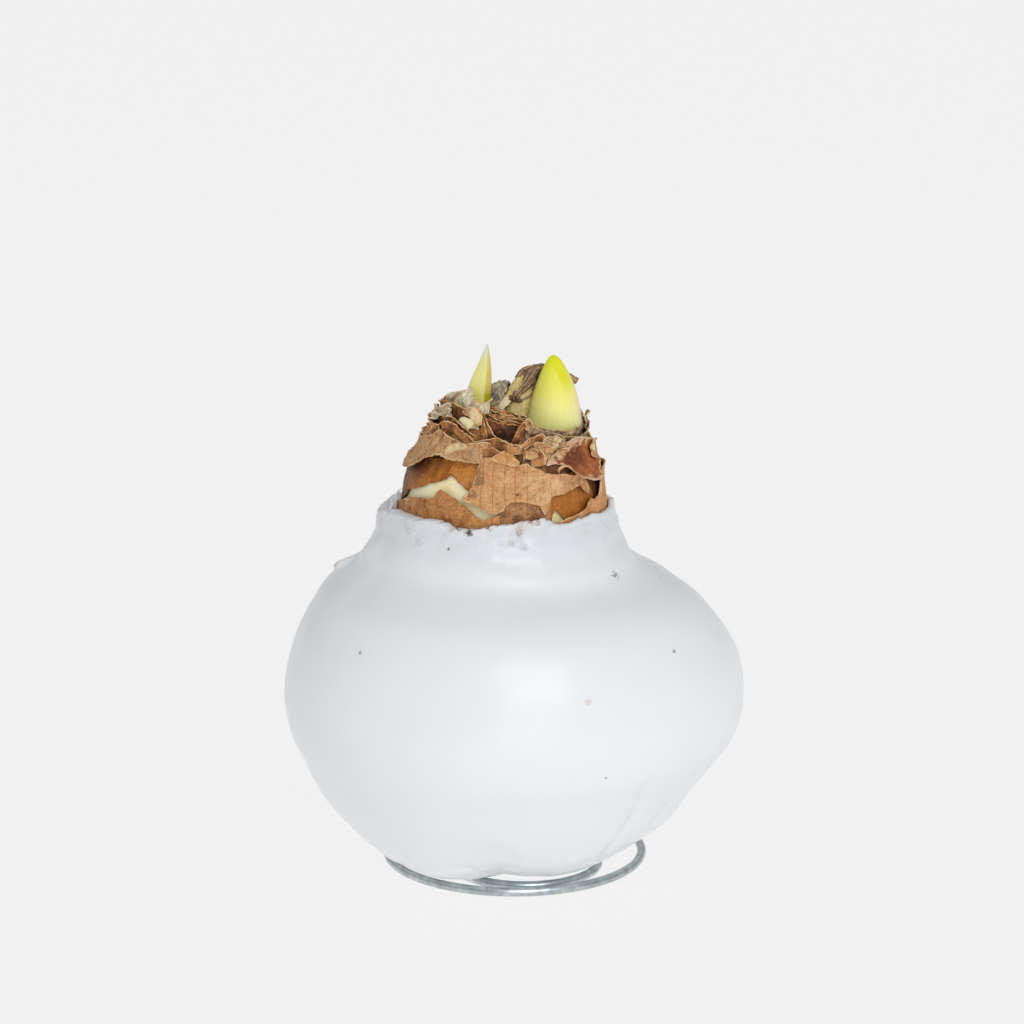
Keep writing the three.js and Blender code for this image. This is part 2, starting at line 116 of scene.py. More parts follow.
# Bits of bulb skin in the wax: bearing, height, radius, how ragged they are, colour, strength.
WAX_SPECKS = [
    (54, 70.4, 0.95, 1.8, "#6f6a5c", 0.8), (49.5, 56.4, 0.6, 0.7, "#5d5248", 0.75),
    (83.5, 66.2, 0.55, 0.8, "#8a7f76", 0.6),
    (-43.5, 57.1, 0.6, 0.6, "#8a7358", 0.8), (19, 49.9, 0.9, 1, "#d6b9ad", 0.5),
    (23.5, 32.9, 0.35, 0.5, "#6f6255", 0.7),
    (-23.5, 77.7, 0.45, 0.6, "#5e4a3c", 0.8), (-47.5, 80.9, 1.5, 1.6, "#b59583", 0.3),
    (-40, 78.7, 1.3, 1.6, "#b59583", 0.28),
    (11.3, 81.5, 1, 1.4, "#9c8474", 0.5), (7.5, 79.4, 0.9, 1.2, "#a08c7e", 0.45),
    (-92.5, 68.2, 1.4, 0.7, "#dcb6a2", 0.6),
    (-67, 83.2, 0.9, 1.2, "#4a2c20", 0.9), (-19, 82.3, 0.9, 1.2, "#55301f", 0.9),
    (-13, 81.6, 1, 1.2, "#4a2a1d", 0.95),
    (-4, 82.9, 0.9, 1.1, "#5f3a26", 0.85), (17, 83.5, 0.8, 1, "#a8724f", 0.6), (21, 83.6, 0.8, 1, "#a8724f", 0.6),
    (152, 58, 0.6, 0.8, "#7a6654", 0.8), (-130, 44, 0.5, 0.6, "#7a6654", 0.8), (170, 30, 0.5, 0.6, "#7a6654", 0.8),
]

# How much nearer the neck's middle its left side lies than a round one would.
FLATTER_LEFT = 1.4
FLESH_PROFILE = [[73, 22.3], [83, 21.95], [88, 21.35], [92, 20.1], [94.4, 18.7], [95.8, 17.2], [97, 16], [98, 14.6]]

# ---------- the dry tunics ----------

# A sheet of dry tunic: its run of bearings, the heights of its lower and upper edge, its outside as
# [height, radius], how ragged its lower edge, upper edge and ends are, how far the lower and upper
# edge stand out, and the turn in degrees and the length of the curl of each edge.
OUTER_LAYER = [[74, 23.9], [83, 23.4], [88, 22.8], [90, 22.5], [92, 22], [94.4, 21.2], [97.5, 20.2]]
TUNICS = [
    dict(
        name="tunic_skin", slot="amber_skin", finish="amber", replaces="tunic_skin", run=(-180, 180),
        low=[
            [-180, 76], [-118, 77], [-100, 80], [-88, 82.5], [-80, 84.4], [-74, 85.6], [-72, 87], [-68, 87.6],
            [-61, 88.2],
            [-53, 89.2], [-50, 90], [-44, 90.5], [-40, 91.2], [-36, 91.8], [-34.5, 92.7], [-29, 92.1],
            [-27, 91.4], [-24, 90.8], [-21, 90.1], [-17, 89.4], [-10, 88.5], [-1, 87.4], [1, 84], [4, 77], [26, 76],
            [28, 82.6],
            [29.4, 84.3], [31.2, 85.3], [33.4, 84.7], [36, 83.6], [39, 82.4], [41, 76], [180, 76],
        ],
        high=[[-180, 95], [-20, 95.4], [-12, 92.8], [0, 92.6], [60, 92.4], [110, 92.4], [150, 94], [180, 95]],
        outside=[[74, 23], [83, 22.6], [88, 22], [92, 20.8], [94.4, 19.5], [97, 18.4]],
        tear=(0.16, 0.2, 0), curl_low=(26, 0.6), ridges=0.16, spots=[
            ("stain", -86, 88, 6, 0.75), ("stain", -64, 93, 5.5, 0.5), ("stain", -50, 94.4, 4, 0.4),
            ("stain", -19, 90, 2.4, 0.4), ("stain", 66, 90.4, 4.5, 0.85),
            ("stain", 72, 87, 4, 0.7), ("stain", 48, 90, 1.5, 0.3),
        ],
    ),
    dict(
        name="tunic_patch", slot="tan_tunic", finish="dotted", replaces="tunic_patch", run=(-92, -1),
        low=[[-92, 74], [-1, 74]],
        high=[
            [-92, 82.2], [-84, 83.4], [-74, 84.6], [-64, 86], [-53, 86.6], [-47, 87.1], [-43, 87], [-40, 87.7],
            [-39, 88.8], [-36, 89.6], [-33, 89.1], [-30, 88.5], [-26, 88], [-23, 87.1], [-20, 86.5], [-17, 85.6],
            [-15, 84.7], [-12, 84], [-9, 83.7], [-4, 84.7], [-1, 85],
        ],
        outside=OUTER_LAYER, tear=(0, 0.14, 0.2), curl_high=(24, 0.7), spots=[
            ("stain", -47, 86.4, 0.9, 0.4), ("stain", -45, 84.6, 0.8, 0.35), ("stain", -30, 83, 1.5, 0.55),
            ("stain", -33, 84, 1, 0.4), ("stain", -61, 83.8, 0.8, 0.5), ("stain", -22, 82.4, 1.6, 0.4),
            ("stain", -54, 83.2, 1.6, 0.35), ("pale", -66, 85.2, 1.6, 0.3),
        ],
    ),
    dict(
        name="tunic_under", slot="tan_tunic", finish="dull", run=(-2, 27), low=[[-2, 74], [27, 74]],
        high=[[-2, 85.6], [1, 87.6], [8, 89], [16, 88.6], [22, 88], [27, 86]],
        outside=[[74, 23.5], [83, 23.05], [88, 22.4], [92, 21.5]], tear=(0, 0.2, 0.3), spots=[
            ("stain", 9, 84, 1.6, 0.5), ("stain", 19, 83.5, 2.4, 0.5), ("stain", 2, 85, 1.2, 0.4),
        ],
    ),
    dict(
        name="tunic_veined", slot="tan_tunic", finish="veined", replaces="tunic_veined", run=(-21, 56),
        low=[
            [-21, 87.9], [-20, 87.8], [-17, 87.3], [-13, 86.9], [-10, 85.9], [-5, 85.3], [-3, 85.3], [1, 86],
            [2, 87], [5, 87.6], [8, 87.8], [12, 87.7], [16, 87.3], [21, 86.6], [23.5, 84.6], [26.5, 86.4],
            [28, 88.6], [36, 88.7], [41, 89.2], [45, 89.7], [49, 89.8], [52, 88.6], [56, 87.4],
        ],
        high=[
            [-21, 88.6], [-19, 89.4], [-16, 91.5], [-14.5, 94], [-14, 96.5], [-12, 97.2], [-5, 97], [-2, 96.8],
            [4, 95.8], [7, 96.2], [9, 95.7], [14, 96], [16, 95.2], [21, 94.4], [27, 93.4], [31, 93.2],
            [36, 93.2], [41, 92.4], [46, 92.1], [51, 91.6], [53.5, 91], [56, 88.6],
        ],
        outside=[[z, r + 0.15] for z, r in OUTER_LAYER], tear=(0.12, 0.14, 0.25), curl_high=(46, 0.7),
        gripped=True, curl_low=(20, 0.6), flare=(0.1, 0.25), spots=[
            ("stain", -15, 92.5, 2.6, 0.45), ("stain", -16, 89.6, 1.8, 0.4), ("pale", 16, 92, 3, 0.3),
            ("pale", 31, 90.8, 2.6, 0.45), ("pale", 24, 92.2, 3, 0.3), ("pale", 0, 92.4, 1.8, 0.3),
            ("stain", 50, 91, 2, 0.45),
            ("stain", 44, 91.6, 2.4, 0.3), ("pale", 23, 88.4, 2.4, 0.4), ("stain", 8.5, 89.4, 0.4, 0.8),
        ],
    ),
    dict(
        name="tunic_wrap", slot="tan_tunic", finish="bright", replaces="tunic_wrap", run=(24, 250),
        low=[[24, 74], [250, 74]],
        high=[
            [24, 83.1], [32, 82.6], [36, 83.2], [46, 83.8], [52, 84.8], [56, 86.4], [60, 86], [66, 86.4],
            [69, 88], [73, 90.6], [78, 91.6], [84, 92], [90, 91.8], [104, 91.4], [126, 93.6], [150, 92.4],
            [172, 94], [196, 92.2], [214, 93.8], [230, 92.6], [240, 90.4], [246, 86], [250, 83.2],
        ],
        outside=OUTER_LAYER, tear=(0, 0.22, 0.2), curl_high=(52, 0.9), flare=(0, 0.35), ridges=0.12, spots=[
            ("pale", 72, 88, 2.4, 0.5), ("stain", 110, 88, 6, 0.4), ("stain", 150, 84, 7, 0.3),
            ("pale", 176, 90, 4, 0.35), ("stain", 214, 89, 6, 0.45), ("stain", 240, 84, 5, 0.4),
        ],
    ),
    dict(
        name="tunic_skirt", slot="brown_tunic", finish="plain", replaces="tunic_skirt", run=(-152, -13),
        low=[
            [-152, 93.6], [-132, 94.6], [-118, 93.2], [-100, 93.4], [-84, 91.6], [-77, 91.8], [-70, 92.4],
            [-65, 93.5], [-60, 94.2], [-54, 95.6], [-47, 96.6], [-43, 96.9], [-37, 96.4], [-30, 96.2], [-13, 96.3],
        ],
        high=[
            [-152, 99.2], [-120, 98.2], [-95, 98.5], [-80, 98.4], [-70, 98.9], [-62, 99.7], [-57, 100.2],
            [-52, 101.2], [-47, 101.1], [-42, 100.6], [-37, 100.2], [-28, 99.4], [-22, 99.6], [-17, 100.2],
            [-13, 100.2],
        ],
        outside=[[91.5, 22], [94.4, 21], [96.7, 20.1], [99, 19.3], [101.5, 18.9]],
        tear=(0.32, 0.2, 0.5), curl_low=(66, 1.1), curl_high=(80, 0.9), flare=(0.75, 0.3), crumple=0.34,
        spots=[
            ("pale", -39, 97.9, 1, 0.9), ("pale", -36, 98.3, 1.2, 0.9), ("pale", -32, 98.9, 1.2, 0.9),
            ("pale", -28.5, 99.1, 1, 0.9),
            ("stain", -37, 100, 1.4, 0.5), ("stain", -61, 94.9, 0.6, 0.8), ("stain", -57, 96.2, 0.6, 0.7),
            ("grey", -21.5, 98, 1.8, 0.42), ("stain", -48, 100, 2, 0.4), ("pale", -66, 95, 1.4, 0.3),
            ("grey", -110, 96, 4, 0.34), ("pale", -128, 97, 2, 0.36),
        ],
    ),
    # The fold's stains are painted shade: under the flap's lower edge, and in the dark gap below the mauve shelf.
    dict(
        name="tunic_fold", slot="brown_tunic", finish="brown", replaces="tunic_fold", run=(-8, 62),
        low=[[-8, 92.6], [22, 92.4], [30, 91.4], [62, 91.4]],
        high=[[-8, 98.4], [2, 97.6], [4, 96.8], [13, 97.4], [18, 98.4], [28, 98.2], [34, 98.6], [40, 98.2],
            [62, 97.4]],
        outside=[[92, 20.4], [94.4, 19.5], [97, 18.9], [99, 18.6]],
        tear=(0.1, 0.25, 0.3), curl_high=(90, 0.9), crumple=0.25, spots=[
            ("stain", 8, 96, 3, 0.8), ("stain", 4, 94.6, 3, 0.6), ("stain", 34, 94, 3.4, 0.75),
            ("stain", 27, 95, 3, 0.4), ("stain", 44, 94, 4, 0.8),
        ],
    ),
    dict(
        name="tunic_flap", slot="red_brown_tunic", finish="russet", replaces="tunic_flap", run=(27, 84),
        low=[
            [27, 94.9], [33, 95], [40, 94.6], [46, 93.4], [50, 92.2], [54, 91.1], [60, 90.3], [66, 90.1],
            [72, 90.6], [78, 92.2], [84, 94],
        ],
        high=[
            [27, 95.3], [30, 96.1], [36, 97.6], [43, 98.9], [50, 99.6], [57, 99.6], [64, 99.2], [70, 98.7],
            [76, 98.2], [84, 97],
        ],
        outside=[[89.8, 23.4], [91.5, 21.9], [93.5, 20.4], [95, 19.6], [97, 18.9], [99.5, 18.5]],
        tear=(0.12, 0.1, 0.2), curl_high=(50, 1), curl_low=(40, 0.9), flare=(0.2, 0.3), crumple=0.3,
        spots=[
            ("stain", 56, 96, 4, 0.75), ("stain", 48, 95, 3, 0.8), ("stain", 62, 94.4, 2.4, 0.5),
            ("pale", 29, 95.3, 1.4, 0.9), ("pale", 33, 96.2, 1.7, 0.85), ("pale", 37, 97, 1.9, 0.85),
            ("pale", 42, 97.8, 2.1, 0.85), ("pale", 48, 98.5, 2.1, 0.85), ("pale", 54, 98.8, 1.9, 0.8),
            ("pale", 61, 98.6, 1.6, 0.75), ("pale", 69, 98.1, 1.2, 0.6), ("pale", 60, 90.8, 1.1, 0.6),
            ("pale", 66, 90.6, 1, 0.5),
        ],
    ),
    dict(
        name="tunic_back", slot="brown_tunic", finish="brown", replaces="tunic_back", run=(112, 212),
        low=[[112, 94.6], [124, 95.6], [140, 94], [160, 95.8], [180, 94.2], [196, 95], [212, 95.4]],
        high=[[112, 98.8], [118, 99.8], [138, 98.6], [160, 100.4], [182, 99], [198, 100.2], [212, 99.8]],
        outside=[[92.5, 22], [94.4, 21.1], [96.7, 20.1], [99, 19.3], [101.5, 18.9]],
        tear=(0.35, 0.28, 0.5), curl_low=(60, 1.1), curl_high=(70, 0.9), flare=(0.75, 0.3), crumple=0.36,
        spots=[("pale", 130, 97, 2.4, 0.36), ("stain", 150, 98, 3, 0.4), ("grey", 186, 97, 3.4, 0.3)],
    ),
    dict(
        name="tunic_upper", slot="brown_tunic", finish="brown", replaces="tunic_upper", run=(-206, 12),
        low=[[-206, 96], [12, 96]],
        high=[
            [-206, 101.6], [-182, 103.2], [-160, 102], [-136, 103.4], [-112, 102.2], [-90, 102.4],
            [-76, 101.6], [-67, 101.4], [-61, 101.7], [-57, 102.2], [-53, 103], [-49, 103.4], [-44, 103.3],
            [-40, 102.9], [-36, 102.2], [-31, 101.5], [-28, 101], [-23, 99.9], [-17, 100.4], [-10, 101],
            [-7, 101.2], [-3, 100.5], [1, 100], [4, 99.6], [12, 99.5],
        ],
        outside=[[96, 18.2], [101, 18], [103.5, 17.8]],
        tear=(0, 0.2, 0.3), curl_high=(95, 0.9), flare=(0, 0.3), crumple=0.3, spots=[
            ("stain", -45, 101.6, 2, 0.5), ("stain", -58, 101, 2, 0.55), ("pale", -70, 100.6, 1.8, 0.5),
            ("grey", -84, 101, 3, 0.4), ("stain", -4, 99.4, 2, 0.5), ("pale", -116, 100, 3, 0.34),
        ],
    ),
    dict(
        name="tunic_collar", slot="grey_brown_tunic", finish="ash", replaces="tunic_collar", run=(15, 150),
        low=[[15, 96], [150, 96]],
        high=[
            [15, 103], [17, 103.2], [22, 102.6], [29, 101.8], [36, 101.1], [43, 100.3], [51, 99.7], [61, 99.2],
            [71, 99.2], [80, 100], [86, 101], [92, 101.2], [104, 101],
            [122, 103], [150, 101.8],
        ],
        outside=[[96, 17.7], [100, 17.3], [104.5, 17]],
        tear=(0, 0.12, 0.25), curl_high=(70, 0.9), flare=(0, 0.35), crumple=0.16, spots=[
            ("stain", 30, 98.6, 3, 0.7), ("stain", 44, 98, 3, 0.6), ("pale", 88, 102, 1.6, 0.6),
            ("stain", 84, 101, 1.4, 0.7), ("stain", 18, 100.6, 2, 0.6),
        ],
    ),
    dict(
        name="tunic_crown", slot="grey_brown_tunic", finish="brown", replaces="tunic_crown", run=(-172, -15),
        low=[[-172, 98.6], [-15, 98.6]],
        high=[
            [-172, 103.6], [-150, 105], [-128, 104], [-106, 106], [-92, 105.4], [-84, 106], [-72, 106.5],
            [-64, 106.7], [-55, 106.7], [-45, 106.6], [-37, 106.4], [-30, 106.9], [-24, 106.5], [-20, 104.8],
            [-15, 101],
        ],
        outside=[[98.5, 16.6], [103, 16.3], [106.5, 15.2], [108, 14.6]],
        tear=(0, 0.16, 0.3), curl_high=(60, 0.8), flare=(0, 0.25), crumple=0.22, spots=[
            ("stain", -46, 104.6, 3, 0.85), ("stain", -38, 105, 2.4, 0.7), ("stain", -56, 104, 2, 0.8),
            ("pale", -88, 105, 2, 0.5),
        ],
    ),
]

# Smaller torn pieces of the same layers. Each rides between the tunics, and has the same values.
SCRAPS = [
    dict(
        name="scrap_collar_lip", slot="grey_brown_tunic", finish="ash", run=(14, 116), low=[[14, 97.6], [116, 97.6]],
        high=[
            [14, 104], [16, 104.2], [20, 103], [30, 102.1], [40, 101.5], [49, 101.1], [60, 100.8], [72, 100.9],
            [80, 101.5], [86, 102.6], [90, 103], [96, 102.2], [116, 102],
        ],
        outside=[[97, 16.5], [100, 16.4], [104.5, 15.9]], tear=(0, 0.1, 0.2), crumple=0.34, curl_high=(24, 0.5),
        spots=[("pale", 56, 100, 1.6, 0.4), ("stain", 46, 100.6, 0.5, 0.7), ("stain", 24, 101.6, 1.4, 0.4)],
    ),
    dict(
        name="scrap_inner_over", slot="amber_skin", finish="honey", run=(-35.5, -12),
        low=[[-35.5, 92.9], [-34.4, 93], [-29, 92.4], [-27, 91.7], [-24, 91.1], [-21, 90.4], [-17, 89.7], [-12, 89]],
        high=[[-35.5, 93.4], [-34.4, 94.6], [-33, 96.4], [-31, 97.2], [-12, 97.2]],
        outside=[[88, 22.3], [92, 21.15], [94.4, 19.85], [97, 18.8]], tear=(0.14, 0.1, 0.1), curl_low=(20, 0.4),
        spots=[("stain", -19, 90.6, 2, 0.35), ("stain", -26, 96.6, 3, 0.35)],
    ),
    dict(
        name="scrap_second_rim", slot="brown_tunic", finish="brown", run=(-58, -23), low=[[-58, 98], [-23, 98]],
        high=[
            [-58, 103.6], [-52, 104.1], [-47, 104.2], [-43, 103.9], [-37, 103], [-33, 102.3], [-29, 101.5],
            [-23, 100.6],
        ],
        outside=[[98, 17.6], [104.4, 17.3]], tear=(0, 0.12, 0.2), curl_high=(80, 0.8), crumple=0.2,
        spots=[("stain", -52, 103, 2, 0.7)],
    ),
    dict(
        name="scrap_green_scale", slot="bulb_flesh", finish="scale", run=(-44, -23),
        low=[[-44, 102.8], [-38, 101.6], [-32, 101.5], [-30, 102.5], [-23, 102.3]],
        high=[[-44, 103.2], [-40, 104.3], [-37, 104.7], [-30, 104.5], [-26, 103.6], [-23, 102.7]],
        outside=[[100, 17.3], [105, 16.9]], tear=(0.05, 0.1, 0.15), crumple=0.1,
        spots=[("stain", -26, 102.8, 1.2, 0.6), ("stain", -33, 102.1, 0.8, 0.4)],
    ),
    dict(
        name="scrap_triangle", slot="brown_tunic", finish="plain", run=(-39, -20),
        low=[[-39, 105.5], [-33, 105.1], [-29, 104.6], [-26, 103.8], [-23, 103.2], [-20, 103.6]],
        high=[[-39, 105.9], [-35, 106.7], [-30, 107.1], [-24, 107.1], [-20, 106.2]],
        outside=[[100, 17.7], [103, 17.3], [107.2, 15.9]], tear=(0.08, 0.1, 0.15), curl_low=(30, 0.5),
        crumple=0.18,
        spots=[("pale", -27, 105.6, 1.7, 1), ("pale", -23.5, 104.9, 1.5, 1), ("stain", -36, 105.9, 1, 0.4)],
    ),
    dict(
        name="scrap_cream_lump", slot="grey_brown_tunic", finish="bleached", run=(-74, -49),
        low=[[-74, 104.4], [-66, 104], [-58, 104.1], [-53, 104.1], [-49, 104.5]],
        high=[[-74, 105.4], [-69, 105.2], [-64, 106], [-58, 106.6], [-49, 105.4]],
        outside=[[103.5, 17.7], [105, 17], [107, 15.6]], tear=(0.3, 0.3, 0.2), crumple=0.75,
        curl_low=(60, 0.8), curl_high=(50, 0.8), spots=[("stain", -56, 104.3, 0.8, 0.6)],
    ),
    dict(
        name="scrap_left_lump", slot="grey_brown_tunic", finish="bleached", run=(-100, -69),
        low=[[-100, 102.6], [-84, 102.2], [-69, 102.6]],
        high=[[-100, 104.2], [-92, 104.6], [-80, 105.4], [-69, 105]],
        outside=[[101.5, 18], [103, 17.6], [105.5, 16.4]], tear=(0.2, 0.14, 0.2), crumple=0.55,
        curl_low=(40, 0.6), curl_high=(60, 0.8), spots=[("pale", -80, 104, 1.8, 0.7), ("stain", -90, 103, 1.2, 0.5)],
    ),
    dict(
        name="scrap_left_tuck", slot="brown_tunic", finish="brown", run=(-86, -56), low=[[-86, 98.4], [-56, 99.4]],
        high=[[-86, 100.6], [-76, 101.4], [-70, 100.6], [-64, 102.2], [-56, 101.4]],
        outside=[[98, 19.4], [102.4, 18.6]], tear=(0.15, 0.16, 0.25), crumple=0.4, curl_high=(50, 0.6),
        curl_low=(40, 0.6), spots=[("pale", -70, 101, 1.2, 0.6), ("stain", -62, 100.6, 1.2, 0.6)],
    ),
    dict(
        name="scrap_shoot_sheath", slot="grey_brown_tunic", finish="sheath", run=(-118, -18),
        low=[[-118, 103], [-42, 103], [-32, 104.4], [-26, 105.1], [-18, 105.6]],
        high=[
            [-118, 105.6], [-100, 106.8], [-88, 107.4], [-76, 108.2], [-64, 109], [-56, 109.5], [-50, 109.6],
            [-45, 109.3], [-39, 108.5], [-34, 107.9], [-27, 107.5], [-22, 107.8], [-18, 108.6],
        ],
        outside=[[103, 15.6], [105, 14.9], [107, 13.5], [108.5, 12.2], [110, 10.8]], tear=(0, 0.12, 0.3),
        crumple=0.4, curl_high=(-50, 0.8), spots=[
            ("stain", -66, 107.6, 1.3, 0.7), ("pale", -54, 109, 1.3, 0.8), ("pale", -46, 108.2, 1.5, 0.5),
            ("stain", -78, 107, 1, 0.6), ("grey", -36, 107.4, 1.6, 0.6),
        ],
    ),
    # The pieces at the sides of the dark hollow: their stains are painted shade.
    dict(
        name="scrap_hollow_left", slot="red_brown_tunic", finish="brown", run=(-27, -6),
        low=[[-27, 98.6], [-6, 98.6]],
        high=[[-27, 107], [-21, 105.7], [-16, 103.6], [-11, 101.4], [-6, 100]],
        outside=[[98.6, 15.9], [104, 15.7], [107, 14.6]], tear=(0, 0.16, 0.3), crumple=0.4, curl_high=(70, 0.7),
        spots=[
            ("stain", -12, 100, 2, 0.7), ("stain", -19, 101.6, 1.6, 0.5),
        ],
    ),
    # Its stains are painted shade in the dark hollow.
    dict(
        name="scrap_hollow_right", slot="red_brown_tunic", finish="brown", run=(2.5, 16.5),
        low=[[2.5, 97], [16.5, 97]],
        high=[[2.5, 98.6], [4, 99.6], [6, 101.2], [8, 102.5], [10, 103.5], [12, 104.1], [16.5, 103.8]],
        outside=[[97, 16.6], [104.5, 16.2]], tear=(0, 0.16, 0.3), crumple=0.34, curl_high=(70, 0.7), spots=[
            ("stain", 12, 101.4, 1.6, 0.6), ("stain", 7, 99.8, 1.6, 0.7),
        ],
    ),
    # The wall at the back of the dark hollow: its finish and its stains are painted shade.
    dict(
        name="scrap_hollow_wall", slot="red_brown_tunic", finish="shadowed", run=(-34, 20),
        low=[[-34, 96.6], [20, 96.6]],
        high=[[-34, 105], [-22, 104.6], [-17, 103.8], [-6, 103.5], [4, 102.9], [10, 102.4], [20, 102]],
        outside=[[96.6, 15.1], [100, 15.1], [105, 15]], tear=(0, 0.12, 0.3), crumple=0.3, spots=[
            ("stain", 3, 100.4, 3.6, 1), ("stain", 11, 100.6, 4, 1), ("stain", -6, 100.2, 3.2, 1),
            ("stain", -12, 101, 2, 0.5),
        ],
    ),
    dict(
        name="scrap_rim_two", slot="brown_tunic", finish="brown", run=(-18, 3),
        low=[[-18, 96.6], [-8, 96.2], [3, 95.8]],
        high=[[-18, 99.4], [-16, 99.7], [-12, 100.1], [-9, 99.3], [-6, 98.7], [-3, 98.1], [3, 97.2]],
        outside=[[95.8, 20.3], [98, 19.7], [100.2, 19]], tear=(0.15, 0.14, 0.2), crumple=0.2, curl_high=(75, 0.7),
        spots=[("stain", -8, 98, 1.6, 0.5)],
    ),
    dict(
        name="scrap_orange_fold", slot="tan_tunic", finish="bright", run=(-7, 8.5),
        low=[[-7, 96.7], [-3, 96.2], [1, 95.9], [5, 95.6], [8.5, 95.7]],
        high=[[-7, 97.4], [-4, 98.2], [-1, 98.7], [2, 98.2], [5, 97.8], [8.5, 96.4]],
        outside=[[95.4, 21.7], [97, 21], [98.6, 19.8]], tear=(0.1, 0.14, 0.15), crumple=0.3, curl_high=(50, 0.6),
        spots=[("stain", 3, 96.8, 1.2, 0.35)],
    ),
    dict(
        name="scrap_mauve_shelf", slot="grey_brown_tunic", finish="brown", run=(1, 17),
        low=[[1, 97.6], [9, 97.9], [17, 98]],
        high=[[1, 100], [4, 99.6], [6, 99.3], [10, 99.2], [12, 99.9], [15, 100.7], [17, 101]],
        outside=[[97.5, 19.7], [99.2, 18.8], [101, 17.9]], tear=(0.2, 0.12, 0.15), crumple=0.35,
        curl_high=(85, 0.8), curl_low=(50, 0.6), spots=[("grey", 8, 98.8, 1.6, 0.4)],
    ),
    dict(
        name="scrap_small_curl", slot="brown_tunic", finish="plain", run=(13, 21),
        low=[[13, 97], [17, 96.8], [21, 97.2]], high=[[13, 98.2], [17, 98.9], [21, 98.2]],
        outside=[[96.5, 20.1], [99, 19.2]], tear=(0.1, 0.1, 0.1), crumple=0.3, curl_high=(120, 0.8),
        curl_low=(60, 0.5),
    ),
    dict(
        name="scrap_arch", slot="brown_tunic", finish="brown", run=(17, 26.5),
        low=[[17, 94.9], [26.5, 95.2]], high=[[17, 96.6], [18.4, 98], [21, 98.7], [24, 98], [26.5, 96.2]],
        outside=[[94.8, 20.6], [98.4, 19.4]], tear=(0.05, 0.08, 0.1), crumple=0.12, curl_high=(115, 0.75),
        spots=[("stain", 22.5, 97.2, 1.1, 0.6)],
    ),
    dict(
        name="scrap_under_collar", slot="brown_tunic", finish="brown", run=(15, 46), low=[[15, 96.4], [46, 96.4]],
        high=[[15, 100.7], [20, 101.3], [24, 101.6], [28, 100.8], [32, 99.8], [38, 99.1], [46, 98.6]],
        outside=[[96.4, 18.9], [101.5, 18.2]], tear=(0, 0.15, 0.2), crumple=0.3, curl_high=(90, 0.8),
        spots=[("stain", 22, 99.8, 1.8, 0.6), ("stain", 36, 98, 2, 0.5)],
    ),
    dict(
        name="scrap_third_rim", slot="brown_tunic", finish="plain", run=(12, 44), low=[[12, 95.6], [44, 95.6]],
        high=[[12, 98.8], [16, 99.4], [20, 100], [24, 99.8], [29, 98.9], [34, 98.4], [40, 97.9], [44, 97.6]],
        outside=[[95.6, 19.6], [100, 18.7]], tear=(0, 0.15, 0.2), crumple=0.35, curl_high=(95, 0.7),
        spots=[("stain", 16, 97, 1.8, 0.7), ("stain", 34, 96.8, 2, 0.5)],
    ),
    dict(
        name="scrap_grey_chip", slot="grey_brown_tunic", finish="ash", run=(25, 42),
        low=[[25, 99.8], [29, 99.2], [36, 98.4], [42, 98.2]], high=[[25, 100.5], [30, 101], [36, 100.7], [42, 99.7]],
        outside=[[98, 19.2], [101, 18.5]], tear=(0.12, 0.16, 0.2), crumple=0.34, curl_high=(75, 0.7),
        spots=[("pale", 35, 99.7, 1.8, 0.4), ("grey", 31, 100, 1.2, 0.3)],
    ),
    dict(
        name="scrap_flap_tab", slot="brown_tunic", finish="plain", run=(72, 84),
        low=[[72, 94.4], [78, 93.6], [84, 94.4]], high=[[72, 96.6], [77, 97.8], [84, 97.4]],
        outside=[[94, 20.9], [96, 19.9], [99, 18.7]], tear=(0.15, 0.15, 0.25), crumple=0.3, curl_high=(70, 0.8),
        spots=[("pale", 77, 96.4, 1.4, 0.8)],
    ),
    dict(
        name="scrap_collar_knot", slot="grey_brown_tunic", finish="plain", run=(12.5, 18),
        low=[[12.5, 102.8], [15, 102.3], [18, 102.2]], high=[[12.5, 104.6], [15, 104.9], [17, 104], [18, 103.2]],
        outside=[[102, 17.3], [104, 16.7], [105, 16]], tear=(0.15, 0.25, 0.15), crumple=0.5, curl_high=(90, 0.8),
        spots=[("stain", 20.5, 102.6, 0.7, 0.5)],
    ),
    dict(
        name="scrap_collar_curl", slot="grey_brown_tunic", finish="ash", run=(80, 98),
        low=[[80, 99.4], [98, 99.6]], high=[[80, 101.2], [85, 102.9], [89, 103.8], [92, 103.2], [98, 101.4]],
        outside=[[99, 17.4], [101.5, 17], [104, 17.3]], tear=(0.1, 0.2, 0.3), crumple=0.4, curl_high=(50, 0.8),
        spots=[("pale", 90, 102.4, 1.2, 0.6)],
    ),
    dict(
        name="scrap_right_edge", slot="brown_tunic", finish="brown", run=(80, 112),
        low=[[80, 93], [96, 92.2], [112, 93.4]],
        high=[[80, 97.4], [88, 98.8], [100, 98], [112, 98.6]], outside=[[92, 20.8], [95, 18.6], [99, 16.8]],
        tear=(0.3, 0.3, 0.4), crumple=0.3, curl_high=(70, 0.9), curl_low=(60, 0.9),
        spots=[("pale", 90, 96, 2, 0.5), ("stain", 84, 94.6, 1.6, 0.7)],
    ),
]

# The cup of thin old leaf bases before the old leaf: one torn layer behind the other.
CUP_LAYERS = {
    "count": 5, "run": (-27, 19), "low": 99, "radius": 14.1, "spacing": 0.55, "drop": 0.55,
    "high": [[-26, 106.9], [-16, 106.2], [-10, 105.9], [-2, 105.6], [4, 105.4], [11, 105], [19, 104.4]],
}
# The layers round the back, drawn by chance within these ranges.
BACK_LAYERS = {
    "seed": 41, "count": 12, "from": 97, "to": 262, "width": (22, 54), "low": (95.5, 101), "height": (2.4, 5),
    "radius": [[95, 19.6], [99, 17.8], [102, 16.8], [106, 14.8], [109, 13.2]],
}
